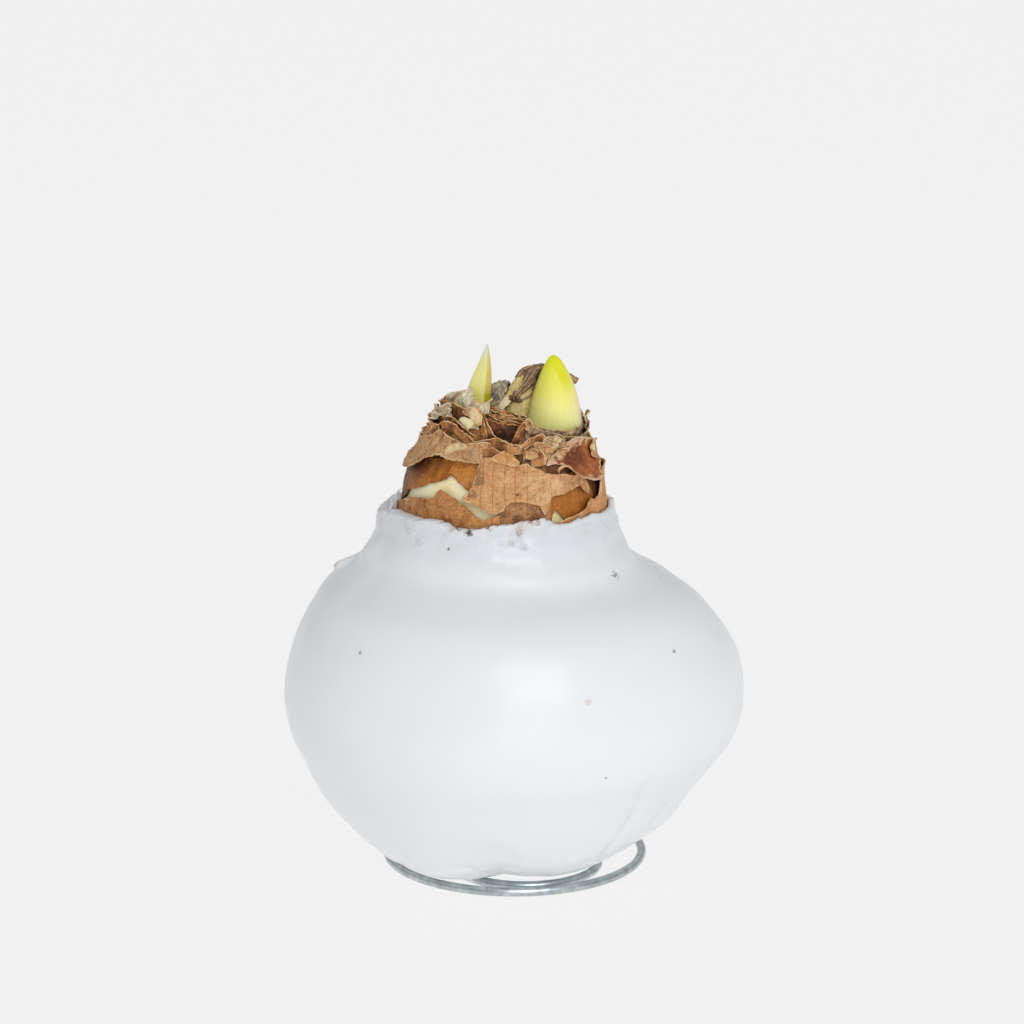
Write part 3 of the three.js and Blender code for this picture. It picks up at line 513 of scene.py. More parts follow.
# The leaf bases that fill the cup, ring within ring: round the back, and between the shoots at the front.
INNER_LAYERS = [
    {
        "name": "scrap_inner", "seed": 77, "count": 7, "radius": 13.3, "spacing": 1.05, "from": 106, "later": 3,
        "to": 286,
        "sooner": 7, "low": 97.6, "high": 101.8, "drop": 0.25,
    },
    {
        "name": "scrap_middle", "seed": 19, "count": 5, "radius": 11.1, "spacing": 1.05, "from": -44, "later": 2,
        "to": 33,
        "sooner": 3, "low": 97.6, "high": 101, "drop": 0.3,
    },
    {
        "name": "scrap_right", "seed": 23, "count": 3, "radius": 15.5, "spacing": 0.85, "from": 15, "later": 2,
        "to": 56,
        "sooner": 8, "low": 97.6, "high": 100.4, "drop": 0.3,
    },
]

# ---------- the sections of the shoots and the old leaf ----------

# Level sections: [x, y, z, half width, half depth].
SHOOT_LEFT = [
    [-6.4, -2, 93, 1.6, 1.3], [-6.9, -2, 98, 2.4, 1.9], [-7.4, -2, 103, 3, 2.3], [-7.3, -2, 108, 2.75, 2.1],
    [-6.8, -1.9, 110.6, 2.35, 1.8], [-6.1, -1.8, 114, 1.5, 1.25], [-5.7, -1.7, 116.6, 0.8, 0.75],
    [-5.5, -1.7, 118.1, 0.34, 0.34], [-5.45, -1.7, 118.68, 0.12, 0.12],
]
SHOOT_RIGHT = [
    [7.6, -2.2, 93, 3.6, 3.2], [8.5, -2.6, 97.5, 5.9, 4.7], [9.15, -2.9, 100.5, 6.2, 5.1], [9.4, -3, 102.6, 5.9, 5],
    [9.5, -3, 104.5, 5.6, 4.9],
    [9.5, -2.9, 107.6, 4.9, 4.2], [9.5, -2.8, 110.4, 4, 3.4], [9.4, -2.8, 112.8, 2.95, 2.5],
    [9.3, -2.8, 114.7, 1.9, 1.7], [9.2, -2.8, 115.7, 1.25, 1.15], [9.15, -2.8, 116.15, 0.75, 0.7],
]
OLD_LEAF_CORE = [
    [1.2, -0.2, 98, 3.4, 2.2], [1.4, -0.5, 101, 3.8, 2.6], [1.6, -0.6, 104, 3.7, 2.6], [2, -0.5, 106.5, 3.2, 2.3],
    [3, -0.1, 109, 2.3, 1.8], [4, 0.5, 111, 1.5, 1.3], [4.6, 1, 112.4, 0.6, 0.6],
]
# Sheets of the old leaf, each through lines that run along it.
OLD_LEAF_HOOD = [
    [(0.9, -2.7, 106.6), (2.7, -2.5, 108.2), (4.3, -1.8, 109.4), (5.3, -0.6, 110.6), (8.5, 1.6, 111),
        (12.4, 3, 109.2), (13.9, 3.2, 108.7)],
    [(0.8, -2.9, 107.3), (3.4, -2.7, 110), (4.9, -1.9, 111.8), (6, -0.4, 112.7), (9.4, 1.6, 112), (13, 2.8, 110),
        (14.3, 3.1, 109.2)],
    [(-0.2, -1.7, 107.7), (1.8, -1.7, 109.9), (2.8, -1.3, 111.6), (3.9, -0.6, 112.6), (6.2, 0.4, 113.2),
        (10.4, 2.4, 112), (14.6, 3.3, 109.7)],
    [(-0.9, 0.2, 107.6), (0.5, 0.8, 109.9), (1.9, 0.9, 112), (3.5, 1.3, 112.7), (6.2, 2, 113.1), (10.4, 3.6, 111.8),
        (14.7, 3.7, 109.5)],
    [(-0.4, 2.7, 104.4), (1, 3.7, 105.6), (2.4, 4.3, 106.8), (4.2, 4.9, 107.8), (6.6, 5.4, 108.6),
        (10.4, 5.4, 108.9), (14.3, 4.2, 108.7)],
]
OLD_LEAF_LOBE = [
    [(-5.3, -1.6, 103.2), (-4.2, -2.6, 103), (-2.8, -3.1, 103.2), (-1.6, -3, 103.4)],
    [(-5.4, -0.8, 105.8), (-4.2, -1.9, 106), (-2.8, -2.4, 106), (-1.5, -2.4, 106.4)],
    [(-4.9, 0.2, 108), (-3.9, -0.6, 108.8), (-2.6, -0.9, 108.9), (-1, -1, 109.2)],
    [(-4.3, 1.6, 108.2), (-3.4, 1.2, 109.2), (-2, 1, 109.4), (-0.6, 1, 109.8)],
    [(-3.8, 3, 106.2), (-2.8, 3, 107), (-1.4, 3, 107.4), (0, 3, 108)],
]
OLD_LEAF_STRIP = [
    [(-1.4, -1.3, 106.6), (-0.5, -1, 108.6), (0.5, -0.6, 110.2), (1.9, -0.1, 111.7)],
    [(-0.7, -2.2, 106.6), (0.2, -2, 108.5), (1.1, -1.6, 110), (2.3, -1, 111.6)],
    [(0.2, -2.6, 106.6), (0.9, -2.5, 108.2), (1.8, -2.3, 109.8), (2.8, -1.6, 111.2)],
]
OLD_LEAF_CUT = [
    [(-3.2, -2.6, 104.6), (-2.3, -2.6, 105.9), (-1.2, -2.5, 107.3), (-0.2, -2.4, 108.3)],
    [(-2.6, -3.2, 104.4), (-1.8, -3.2, 105.6), (-0.8, -3.1, 106.8), (0.2, -3, 107.7)],
    [(-1.9, -3.5, 104.3), (-1.2, -3.5, 105.1), (-0.3, -3.4, 106.1), (0.5, -3.2, 107)],
]
# The sheets: name, lines, crumpling, finish, thickness, and spots as kind, place, radius and strength.
OLD_LEAF_SHEETS = [
    ("old_leaf_hood", OLD_LEAF_HOOD, 0.2, "withered", 0.4, [("stain", (5, -1.6, 109.6), 1.6, 0.5)]),
    ("old_leaf_lobe", OLD_LEAF_LOBE, 0.42, "lobe", 0.4, [
        ("grey", (-3.6, -1, 107), 1.6, 0.7), ("stain", (-4.6, -1.6, 104.4), 1.2, 0.8),
    ]),
    ("old_leaf_strip", OLD_LEAF_STRIP, 0.05, "living", 0.4, [
        ("pale", (0.4, -1.6, 109.4), 1, 0.4), ("stain", (1.4, -2, 108.2), 0.7, 0.5),
    ]),
    ("old_leaf_cut", OLD_LEAF_CUT, 0.05, "living", 0.5, [("pale", (-1.6, -3, 105.4), 2.2, 1)]),
]
# Curled-up ends: name, middle, half widths.
OLD_LEAF_KNOTS = [
    ("old_leaf_knot", (0.1, -3.3, 106.9), (0.75, 0.6, 0.8)),
    ("old_leaf_knot_tail", (1.4, -3.1, 106.3), (0.9, 0.4, 0.45)),
]

# ---------- the wire ----------

WIRE = {
    "sides": 28, "outer": (0.6, 0, 29), "inner": (2.9, -8.2, 16.6), "eye": (-2.5, 4, 5),
    # the wire starts, leaves the outer circle, reaches the inner one, leaves it, and turns up
    "bearings": (154, -180, -270, -480, -650), "bend": 4, "spike_top": 30,
}

# ---------- the finishes of the dry tunics ----------

SMOOTH = {"interpolation_type": "SMOOTHSTEP"}
IN_COLOUR = {"data_type": "RGBA"}
# What a finish's colours may name instead of a colour: one of the settings.
TUNIC_COLOURS = ("amber", "tan", "brown", "cream")
# Each finish's gap colour is the painted shade that fills the narrow gaps between the layers.
PAPERS = {
    # the inner tunic is still tight and shiny
    "amber": dict(
        name="amber_inner_tunic", light="amber", dark="#85481a", pale="cream", rim="#a9763f", stain="#45201a",
        roughness=0.5, fibres=0.7, vein_gap=2.4, vein_strength=0.55, bump=0.5, rims=0.2, cracks=0.25,
    ),
    "honey": dict(
        name="honey_inner_tunic", light="#e39c48", dark="#a9642a", rim="#b5793c", stain="#5a2c18",
        roughness=0.42, fibres=0.7, vein_gap=2.4, vein_strength=0.5, bump=0.5, rims=0.3, cracks=0.25,
    ),
    # the outer tunic is duller, and its veins show
    "dotted": dict(
        name="dotted_outer_tunic", light="tan", dark="#97592c", dots=0.65, fibres=0.3, rims=0.3, vein_gap=2.3,
        vein_strength=0.25, mottle=3,
    ),
    "dull": dict(
        name="dull_outer_tunic", light="#c8925f", dark="#80502e", vein_gap=2.3, vein_strength=0.5, rims=0.3,
    ),
    "veined": dict(
        name="veined_outer_tunic", light="#e2ad76", dark="#ad6f42", pale="#e6bd8a", vein_gap=2.25, vein_strength=0.8,
        dots=0.2, rims=0.55, cracks=0.45, mottle=3.6,
    ),
    "bright": dict(name="orange_tunic_fold", light="#e8b076", dark="#b97338", mottle=2.5, rims=0.6, dots=0.25),
    "brown": dict(name="crumpled_brown_tunic", light="brown", dark="#92552b", mottle=2.6, bump=0.9, rims=0.6),
    "plain": dict(name="pale_tan_tunic", light="#e6b985", dark="#a0683c", mottle=2.4, bump=0.9, rims=0.6),
    # the flap shows its inner face, which is redder and smoother
    "russet": dict(
        name="russet_inner_face", light="#cb7a3c", dark="#742e12", pale="#dfb896", stain="#4a190b", rim="#e0bf98",
        roughness=0.55, mottle=3, rims=0.9, cracks=0.5, fibres=0.7, gap="#4a2010", fade=0.5,
    ),
    # the side of the cup round the old leaf that lies in shadow: a darker copy of the brown paper, painted shade
    "shadowed": dict(
        name="shadowed_cup_wall", light="#9a5c38", dark="#3f1e10", rim="#93603f", stain="#140705", mottle=2.6,
        bump=0.9, rims=0.2,
    ),
    "ash": dict(name="ash_brown_tunic", light="#cfb08d", dark="#806046", mottle=2, bump=0.9, rims=0.6),
    "bleached": dict(
        name="bleached_tunic", light="#e2cdae", dark="#98775a", rim="#f0dfc4", gap="#5f3f2b", mottle=1.6, rims=0.8,
    ),
    "sheath": dict(
        name="grey_green_sheath", light="#f5eac6", dark="#b5a178", stain="#8a5238", pale="#f2ead2", mottle=2,
        roughness=0.55, gap="#6d5340",
    ),
    "scale": dict(
        name="cream_green_scale", light="#f8f0c4", dark="#e8dba2", gap="#d2bf86", rim="#c79a63", stain="#a06a3c",
        mottle=2.6, roughness=0.45, bump=0.4, cracks=0.2,
    ),
    "withered": dict(
        name="shrivelled_brown_leaf", light="#a88663", dark="#513523", rim="#d3bda6", stain="#2b1a17", pale="#cbaa86",
        mottle=1.5, vein_gap=0.62, vein_strength=0.75, bump=1, fibres=0.6,
    ),
    "lobe": dict(
        name="grey_crinkled_leaf", light="#dacbaa", dark="#6c5a4a", rim="#d0c0ac", grey="#a093a5", mottle=1.2, bump=1,
        cracks=0.9,
    ),
    # the leaf base is still alive: yellow-green to cream, with amber where it dries
    "living": dict(
        name="living_leaf_base", light="#f0e29e", dark="#b8984e", rim="#e3d09a", pale="#f5e6c0", gap="#6a4a1e",
        stain="#6a4526", grey="#a2948a", mottle=4, roughness=0.42, bump=0.25, fade=0.3, fibres=0.85,
    ),
}
LEAF_FINISHES = ("withered", "lobe", "living")

# ---------- the camera and the lights ----------

CAMERA = {"place": (0, -0.75, 0.2592), "tilt": 13.42, "lens": 121.36, "sensor": 36}
# Softboxes: name, place, side, and power as a share of the key's.
SOFTBOXES = [("front_softbox", (0.3, -1.5, 0.1), 0.8, 1), ("top_softbox", (0.3, -1.1, 0.9), 0.7, 1.8)]
SOFTBOX_COLOUR = (0.965, 0.985, 1)
SOFTBOX_AIM = (0, 0, 0.055)


def linear(code):
    """The linear RGBA of an sRGB colour such as #c08a55. A linear colour is handed back as it is."""
    if not isinstance(code, str):
        return tuple(code)
    channels = [int(code[at : at + 2], 16) / 255 for at in (1, 3, 5)]
    return (*[c / 12.92 if c <= 0.04045 else ((c + 0.055) / 1.055) ** 2.4 for c in channels], 1.0)


def colour_property(name, description, code):
    return bpy.props.FloatVectorProperty(
        name=name, description=description, subtype="COLOR", size=4, min=0, max=1, default=linear(code)
    )


def length_property(name, description, size, most=10):
    return bpy.props.FloatProperty(
        name=name, description=description, default=size * MM, min=0, max=most * MM, unit="LENGTH", precision=5
    )


# ---------- settings ----------


class WireSettings(bpy.types.PropertyGroup):
    """The coil that the bulb stands on"""

    thickness: length_property("Thickness", "Diameter of the wire", 2)
    zinc: colour_property("Zinc", "Colour of the galvanised surface", "#bac5c7")


class WaxSettings(bpy.types.PropertyGroup):
    """The poured coat"""

    colour: colour_property("Wax", "Colour of the wax", "#eceef0")
    # The colour towards the rim: thin wax greyed by the neck, and painted shade on the upright band below the rim.
    shade: colour_property("Shade", "Colour of the thin wax near the rim", "#cfd4d9")
    roughness: bpy.props.FloatProperty(
        name="Roughness", description="How matt the wax is", default=0.3, min=0, max=1, subtype="FACTOR"
    )
    wear: length_property("Rim wear", "How ragged the edge round the neck is", 0.42, 2)


class TunicSettings(bpy.types.PropertyGroup):
    """The dry paper round the neck"""

    thickness: length_property("Thickness", "Thickness of a dry tunic", 0.26, 2)
    grain: length_property("Grain", "Spacing of the points on a sheet", 0.27, 2)
    amber: colour_property("Amber", "Colour of the glossy inner tunic", "#c87a24")
    tan: colour_property("Tan", "Colour of the outer tunic", "#d4985a")
    brown: colour_property("Brown", "Colour of the crumpled tunics", "#e6a564")
    cream: colour_property("Cream", "Colour of the flesh in the tears", "#fdecbc")


class ShootSettings(bpy.types.PropertyGroup):
    """The two leaf tips"""

    bright: colour_property("Bright", "Colour of the right shoot's body", "#fdf09a")
    cap: colour_property("Cap", "Colour of the right shoot's cap", "#dcdc1c")
    pale: colour_property("Pale", "Colour of the left shoot", "#f8ea98")
    olive: colour_property("Olive", "Colour of the shoots' green parts", "#b0aa10")


class StageSettings(bpy.types.PropertyGroup):
    """The floor, the lights and the sky"""

    floor: colour_property("Floor", "Colour of the floor", "#f2f2f2")
    sky: bpy.props.FloatProperty(name="Sky", description="Strength of the even light", default=0.5, min=0, max=5)
    key: bpy.props.FloatProperty(
        name="Key", description="Power of the softbox at the front", default=3.8, min=0, max=200, unit="POWER"
    )


class BulbSettings(bpy.types.PropertyGroup):
    """All settings of the waxed bulb"""

    wire: bpy.props.PointerProperty(name="Wire", description="Wire stand", type=WireSettings)
    wax: bpy.props.PointerProperty(name="Wax", description="Wax coat", type=WaxSettings)
    tunics: bpy.props.PointerProperty(name="Tunics", description="Dry tunics", type=TunicSettings)
    shoots: bpy.props.PointerProperty(name="Shoots", description="Leaf tips", type=ShootSettings)
    stage: bpy.props.PointerProperty(name="Stage", description="Floor and lights", type=StageSettings)


def settings():
    return getattr(bpy.context.scene, SETTINGS)


# ---------- working out points ----------


def along(points, x, column=1):
    """The value at x on a table, on a smooth line through its points that is held past the ends."""
    table = np.asarray(points, float)
    places, values = table[:, 0], table[:, column]
    slopes = np.gradient(values, places)
    x = np.clip(x, places[0], places[-1])
    step = np.clip(np.searchsorted(places, x, side="right") - 1, 0, len(places) - 2)
    span = places[step + 1] - places[step]
    t = (x - places[step]) / span
    from_values = (1 + 2 * t) * (1 - t) ** 2 * values[step] + t * t * (3 - 2 * t) * values[step + 1]
    from_slopes = t * (1 - t) ** 2 * slopes[step] - t * t * (1 - t) * slopes[step + 1]
    return from_values + span * from_slopes


def straight(points, x):
    """The value at x on a table, straight between its points."""
    table = np.asarray(points, float)
    return np.interp(x, table[:, 0], table[:, 1])


def ease(x, low, high):
    """0 below low, 1 above high, and smooth between."""
    share = np.clip((x - low) / (high - low), 0, 1)
    return share * share * (3 - 2 * share)


def wrap(bearing):
    """A bearing from -180 to 180."""
    return (bearing + 180) % 360 - 180


def plain_values(tear, **spots):
    """Values for a finish: how far each point is from a torn edge, and no spots but those given."""
    return {"tear": tear, **{kind: np.zeros(np.shape(tear)) for kind in SPOT_KINDS}, **spots}


def around(middle, bearing, radius, height):
    """Points at bearings round an upright axis at x = middle."""
    turn = np.radians(bearing)
    parts = np.broadcast_arrays(middle + radius * np.sin(turn), -radius * np.cos(turn), height)
    return np.stack(parts, axis=-1)


def rough(points, size, octaves=2, seed=0.0, stretch=(1, 1, 1)):
    """Random values from about -1 to 1 that change smoothly over `size`, one for each point."""
    places = points.reshape(-1, 3) / (size * np.asarray(stretch)) + 7.31 * seed
    values = [noise.fractal(place, 0.8, 2.0, octaves) for place in places.tolist()]
    return np.array(values).reshape(points.shape[:-1])


def creases(points, size, seed=0.0, stretch=(1, 1, 1)):
    """Random values from about -1 to 1 with sharp ridges, as in crumpled paper."""
    return 1 - 3.2 * np.abs(rough(points, size, 1, seed, stretch))


def grid(columns, rows):
    """The places across and up a grid, from 0 to 1."""
    return np.meshgrid(np.linspace(0, 1, columns + 1), np.linspace(0, 1, rows + 1))


def distance_to_line(line, bearing, height, reach):
    """How far points are, along the surface, from a line of [bearing, height]."""
    nearest = np.full(np.shape(bearing), np.inf)
    for (bearing_from, height_from), (bearing_to, height_to) in zip(line[:-1], line[1:]):
        across, up = np.radians(bearing - bearing_from) * reach, height - height_from
        run_across, run_up = math.radians(bearing_to - bearing_from) * reach, height_to - height_from
        share = np.clip((across * run_across + up * run_up) / (run_across**2 + run_up**2), 0, 1)
        nearest = np.minimum(nearest, np.hypot(across - share * run_across, up - share * run_up))
    return nearest


# ---------- making meshes ----------


def deselect():
    if bpy.context.object and bpy.context.object.mode != "OBJECT":
        bpy.ops.object.mode_set(mode="OBJECT")
    bpy.ops.object.select_all(action="DESELECT")


def shaped_grid(name, points, values=None, pattern=None):
    """A grid primitive whose points are moved to `points` in mm, row by row, with named values at its points.
    pattern is the place of each point in the finish's own map, in mm."""
    rows, columns = points.shape[0] - 1, points.shape[1] - 1
    deselect()
    bpy.ops.mesh.primitive_grid_add(x_subdivisions=columns, y_subdivisions=rows, size=1)
    piece = bpy.context.object
    piece.name = piece.data.name = name
    flat = np.empty(3 * len(piece.data.vertices))
    piece.data.vertices.foreach_get("co", flat)
    place = flat.reshape(-1, 3) + 0.5
    across = np.rint(place[:, 0] * columns).astype(int)
    up = np.rint(place[:, 1] * rows).astype(int)
    piece.data.vertices.foreach_set("co", (points[up, across] * MM).ravel())
    for label, value in (values or {}).items():
        attribute = piece.data.attributes.new(label, "FLOAT", "POINT")
        attribute.data.foreach_set("value", value[up, across].astype(np.float32))
    if pattern is not None:
        corners = np.empty(len(piece.data.loops), dtype=int)
        piece.data.loops.foreach_get("vertex_index", corners)
        piece.data.uv_layers.active.data.foreach_set("uv", pattern[up, across][corners].ravel())
    piece.data.update()
    return piece


def close_seams(solid=True):
    """Joins the points of the active rolled-up grid that lie on each other, and turns a solid's faces outwards."""
    bpy.ops.object.mode_set(mode="EDIT")
    bpy.ops.mesh.select_all(action="SELECT")
    bpy.ops.mesh.remove_doubles(threshold=MERGE * MM)
    if solid:
        bpy.ops.mesh.dissolve_degenerate(threshold=MERGE * MM / 2)
        bpy.ops.mesh.normals_make_consistent(inside=False)
    bpy.ops.object.mode_set(mode="OBJECT")


def thicken(piece, thickness, offset=-1):
    modifier = piece.modifiers.new("Thickness", "SOLIDIFY")
    modifier.thickness = thickness
    modifier.offset = offset
    bpy.ops.object.modifier_apply(modifier=modifier.name)


def finish_piece(piece, material, slot, *nodes, angle=62):
    """Smooths a piece, gives it its material, ties it to the body, and hides the solids that it stands for."""
    deselect()
    piece.select_set(True)
    bpy.context.view_layer.objects.active = piece
    bpy.ops.object.shade_smooth_by_angle(angle=math.radians(angle))
    piece.data.materials.clear()
    piece.data.materials.append(material)
    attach(piece, BODY)
    if nodes:
        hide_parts(*nodes)
    return piece


# ---------- materials ----------


def add_node(tree, kind, inputs=None, stops=(), **options):
    """Adds a node, sets its options and its colour stops, and links or sets its inputs, by name or in order.
    Where an input is a node, its first output in use is linked."""
    node = tree.nodes.new("ShaderNode" + kind)
    for name, value in options.items():
        setattr(node, name, value)
    named = inputs if isinstance(inputs, dict) else dict(enumerate(inputs or ()))
    for name, value in named.items():
        if isinstance(value, bpy.types.Node):
            value = next(socket for socket in value.outputs if socket.enabled)
        if isinstance(value, bpy.types.NodeSocket):
            tree.links.new(value, node.inputs[name])
        else:
            node.inputs[name].default_value = linear(value) if isinstance(value, str) else value
    for index, (position, colour) in enumerate(stops):
        elements = node.color_ramp.elements
        element = elements[index] if index < 2 else elements.new(position)
        element.position = position
        element.color = linear(colour)
    return node


def new_material(name):
    """An empty material, and what adds a node to it."""
    material = bpy.data.materials.new(name)
    material.use_nodes = True
    material.node_tree.nodes.clear()
    return material, functools.partial(add_node, material.node_tree)


def end_material(material, inputs):
    """Gives a material its shader."""
    shader = add_node(material.node_tree, "BsdfPrincipled", inputs)
    add_node(material.node_tree, "OutputMaterial", {"Surface": shader})
    return material


def per_metre(size):
    """The scale on Object coordinates that repeats a pattern every `size` mm."""
    return 1000 / size


def mid_tone(first, second, share):
    """A colour between two."""
    return tuple(a + (b - a) * share for a, b in zip(linear(first), linear(second)))


def dry_paper(name, light, dark, rim="#e6bd8c", pale="#ead09e", stain="#4a2413", grey="#c0a08a", roughness=0.6,
              fibres=0.45, vein_gap=0.0, vein_strength=0.7, dots=0.0, mottle=5.0, bump=0.75, rims=0.5, cracks=0.6,
              gap="#2b140d", fade=0.0):
    """Dry tunic: papery, long fibres up the neck, finely crinkled, pale where torn, dark where stained or where shade
    is painted, and darkened as painted shade in the narrow gaps between layers.
    """
    material, add = new_material(name)
    coordinates = add("TexCoord")
    pattern, place = coordinates.outputs["UV"], coordinates.outputs["Object"]
    clouds = add("TexNoise", {"Vector": place, "Scale": per_metre(mottle), "Detail": 6, "Roughness": 0.7})
    drawn = add("Mapping", {"Vector": pattern, "Scale": (1 / 0.22, 1 / 6, 1)})
    strands = add("TexNoise", {"Vector": drawn, "Scale": 1, "Detail": 5, "Roughness": 0.68})
    crossed = add("Mapping", {"Vector": pattern, "Scale": (1 / 1.7, 1 / 0.3, 1)})
    wrinkles = add("TexNoise", {"Vector": crossed, "Scale": 1, "Detail": 4, "Roughness": 0.65})
    fine = add("TexNoise", {"Vector": place, "Scale": per_metre(0.5), "Detail": 4, "Roughness": 0.75})
    drawn_out = add("Mix", {0: fibres, 2: clouds, 3: strands})
    crinkled = add("Mix", {0: 0.28, 2: drawn_out, 3: wrinkles})
    mixed = add("Mix", {0: 0.25, 2: crinkled, 3: fine})
    tone = add("ValToRGB", [mixed], [(0.4, dark), (0.5, mid_tone(dark, light, 0.6)), (0.59, light)])
    # Crumpling leaves fine dark lines, where this noise crosses its middle.
    folds = add("TexNoise", {"Vector": place, "Scale": per_metre(1.7), "Detail": 4, "Roughness": 0.62})
    off_fold = add("Math", [folds, 0.5], operation="SUBTRACT")
    from_fold = add("Math", [off_fold], operation="ABSOLUTE")
    fold = add("MapRange", [from_fold, 0, 0.022, cracks, 0], **SMOOTH)
    colour = add("Mix", {0: fold, 6: tone, 7: mid_tone(dark, stain, 0.4)}, **IN_COLOUR)
    if vein_gap:
        # Dark veins run up the sheet at an even spacing, a little wavy.
        sway = add("TexNoise", {"Vector": pattern, "Scale": 1 / 6, "Detail": 3})
        split = add("SeparateXYZ", [pattern])
        moved = add("Math", [sway, 1.3, split.outputs[0]], operation="MULTIPLY_ADD")
        turns = add("Math", [moved, vein_gap], operation="DIVIDE")
        part = add("Math", [turns], operation="FRACT")
        aside = add("Math", [part, 0.5], operation="SUBTRACT")
        from_vein = add("Math", [aside], operation="ABSOLUTE")
        line = add("MapRange", [from_vein, 0, 0.065, vein_strength, 0], **SMOOTH)
        broken = add("MapRange", [wrinkles, 0.35, 0.6, 0.55, 1])
        vein = add("Math", [line, broken], operation="MULTIPLY")
        colour = add("Mix", {0: vein, 6: colour, 7: mid_tone(dark, stain, 0.55)}, **IN_COLOUR)
    if dots:
        cells = add("TexVoronoi", {"Vector": pattern, "Scale": 1 / 0.62, "Randomness": 0.9})
        dot = add("MapRange", [cells, 0.08, 0.34, dots, 0], **SMOOTH)
        colour = add("Mix", {0: dot, 6: colour, 7: mid_tone(dark, stain, 0.35)}, **IN_COLOUR)
    # Stains, painted shade and bare places have ragged, sharp borders.
    ragged = add("TexNoise", {"Vector": place, "Scale": per_metre(1.3), "Detail": 5, "Roughness": 0.68})
    stray = add("Math", [ragged, 0.5], operation="SUBTRACT")
    for label, tint in (("grey", grey), ("stain", stain), ("pale", pale)):
        spot = add("Attribute", attribute_name=label).outputs["Fac"]
        spread = add("Math", [stray, 1.9, spot], operation="MULTIPLY_ADD")
        inside = add("MapRange", [spread, 0.2, 0.36 + fade, 0, 1], **SMOOTH)
        depth = add("MapRange", [spot, 0.02, 0.6, 0, 1])
        share = add("Math", [inside, depth], operation="MULTIPLY")
        if label != "pale":
            tint = add("Mix", {0: 0.3, 6: tint, 7: colour}, **IN_COLOUR)
        colour = add("Mix", {0: share, 6: colour, 7: tint}, **IN_COLOUR)
    # A torn edge shows the pale inside of the paper here and there, up to a third of a millimetre wide.
    tear = add("Attribute", attribute_name="tear").outputs["Fac"]
    uneven = add("TexNoise", {"Vector": place, "Scale": per_metre(3.2), "Detail": 4, "Roughness": 0.65})
    width = add("MapRange", [uneven, 0.6 - 0.26 * rims, 0.78 - 0.26 * rims, -0.1, 0.42])
    past = add("Math", [tear, width], operation="SUBTRACT")
    frayed = add("Math", [fine, 0.3, past], operation="MULTIPLY_ADD")
    torn = add("MapRange", [frayed, 0.04, 0.17, 0.9, 0], **SMOOTH)
    edged = add("Mix", {0: torn, 6: colour, 7: rim}, **IN_COLOUR)
    # Painted shade: where ambient occlusion finds the narrow gaps between the layers, the colour is darkened towards
    # the gap colour.
    open_sky = add("AmbientOcclusion", {"Distance": 2.4 * MM}, samples=5).outputs["AO"]
    painted_gap_shade = add("MapRange", [open_sky, 0.05, 0.58, 0.86, 0], **SMOOTH)
    shaded = add("Mix", {0: painted_gap_shade, 6: edged, 7: gap}, **IN_COLOUR)
    heights = add("Mix", {0: 0.45, 2: strands, 3: wrinkles})
    grained = add("Mix", {0: 0.35, 2: heights, 3: fine})
    height = add("Math", [fold, -0.35, grained], operation="MULTIPLY_ADD")
    raised = add("Bump", {"Strength": bump, "Distance": 0.35 * MM, "Height": height})
    dull = add("MapRange", [clouds, 0.3, 0.7, roughness + 0.1, roughness - 0.1])
    return end_material(material, {
        "Base Color": shaded, "Roughness": dull, "Normal": raised, "Specular IOR Level": 0.35,
    })


def paper_materials(finishes):
    """The papers of these finishes, each named for the layer that it comes from, in the colours that are set."""
    chosen = settings().tunics
    papers = {}
    for finish in finishes:
        look = PAPERS[finish]
        own = {key: tuple(getattr(chosen, value)) for key, value in look.items() if value in TUNIC_COLOURS}
        papers[finish] = dry_paper(**{**look, **own})
    return papers


def galvanised_steel():
    """Galvanised steel wire, drawn: dull grey-green zinc with fine rings across it."""
    material, add = new_material("galvanised_steel_wire")
    coordinates = add("TexCoord")
    zinc = tuple(settings().wire.zinc)
    bloom = add(
        "TexNoise", {"Vector": coordinates.outputs["Object"], "Scale": per_metre(2.6), "Detail": 5, "Roughness": 0.6}
    )
    colour = add(
        "ValToRGB", [bloom],
        [(0.3, mid_tone(zinc, "#6d7877", 0.4)), (0.52, zinc), (0.72, mid_tone(zinc, "#ffffff", 0.4))]
    )
    rings = add("Mapping", {"Vector": coordinates.outputs["UV"], "Scale": (1 / 3.2, 1 / 0.42, 1)})
    ticks = add("TexNoise", {"Vector": rings, "Scale": 1, "Detail": 4, "Roughness": 0.7})
    rough_zinc = add("MapRange", [ticks, 0.3, 0.7, 0.24, 0.42])
    height = add("Mix", {0: 0.4, 2: ticks, 3: bloom})
    raised = add("Bump", {"Strength": 0.22, "Distance": 0.1 * MM, "Height": height})
    return end_material(material, {"Base Color": colour, "Metallic": 1, "Roughness": rough_zinc, "Normal": raised})


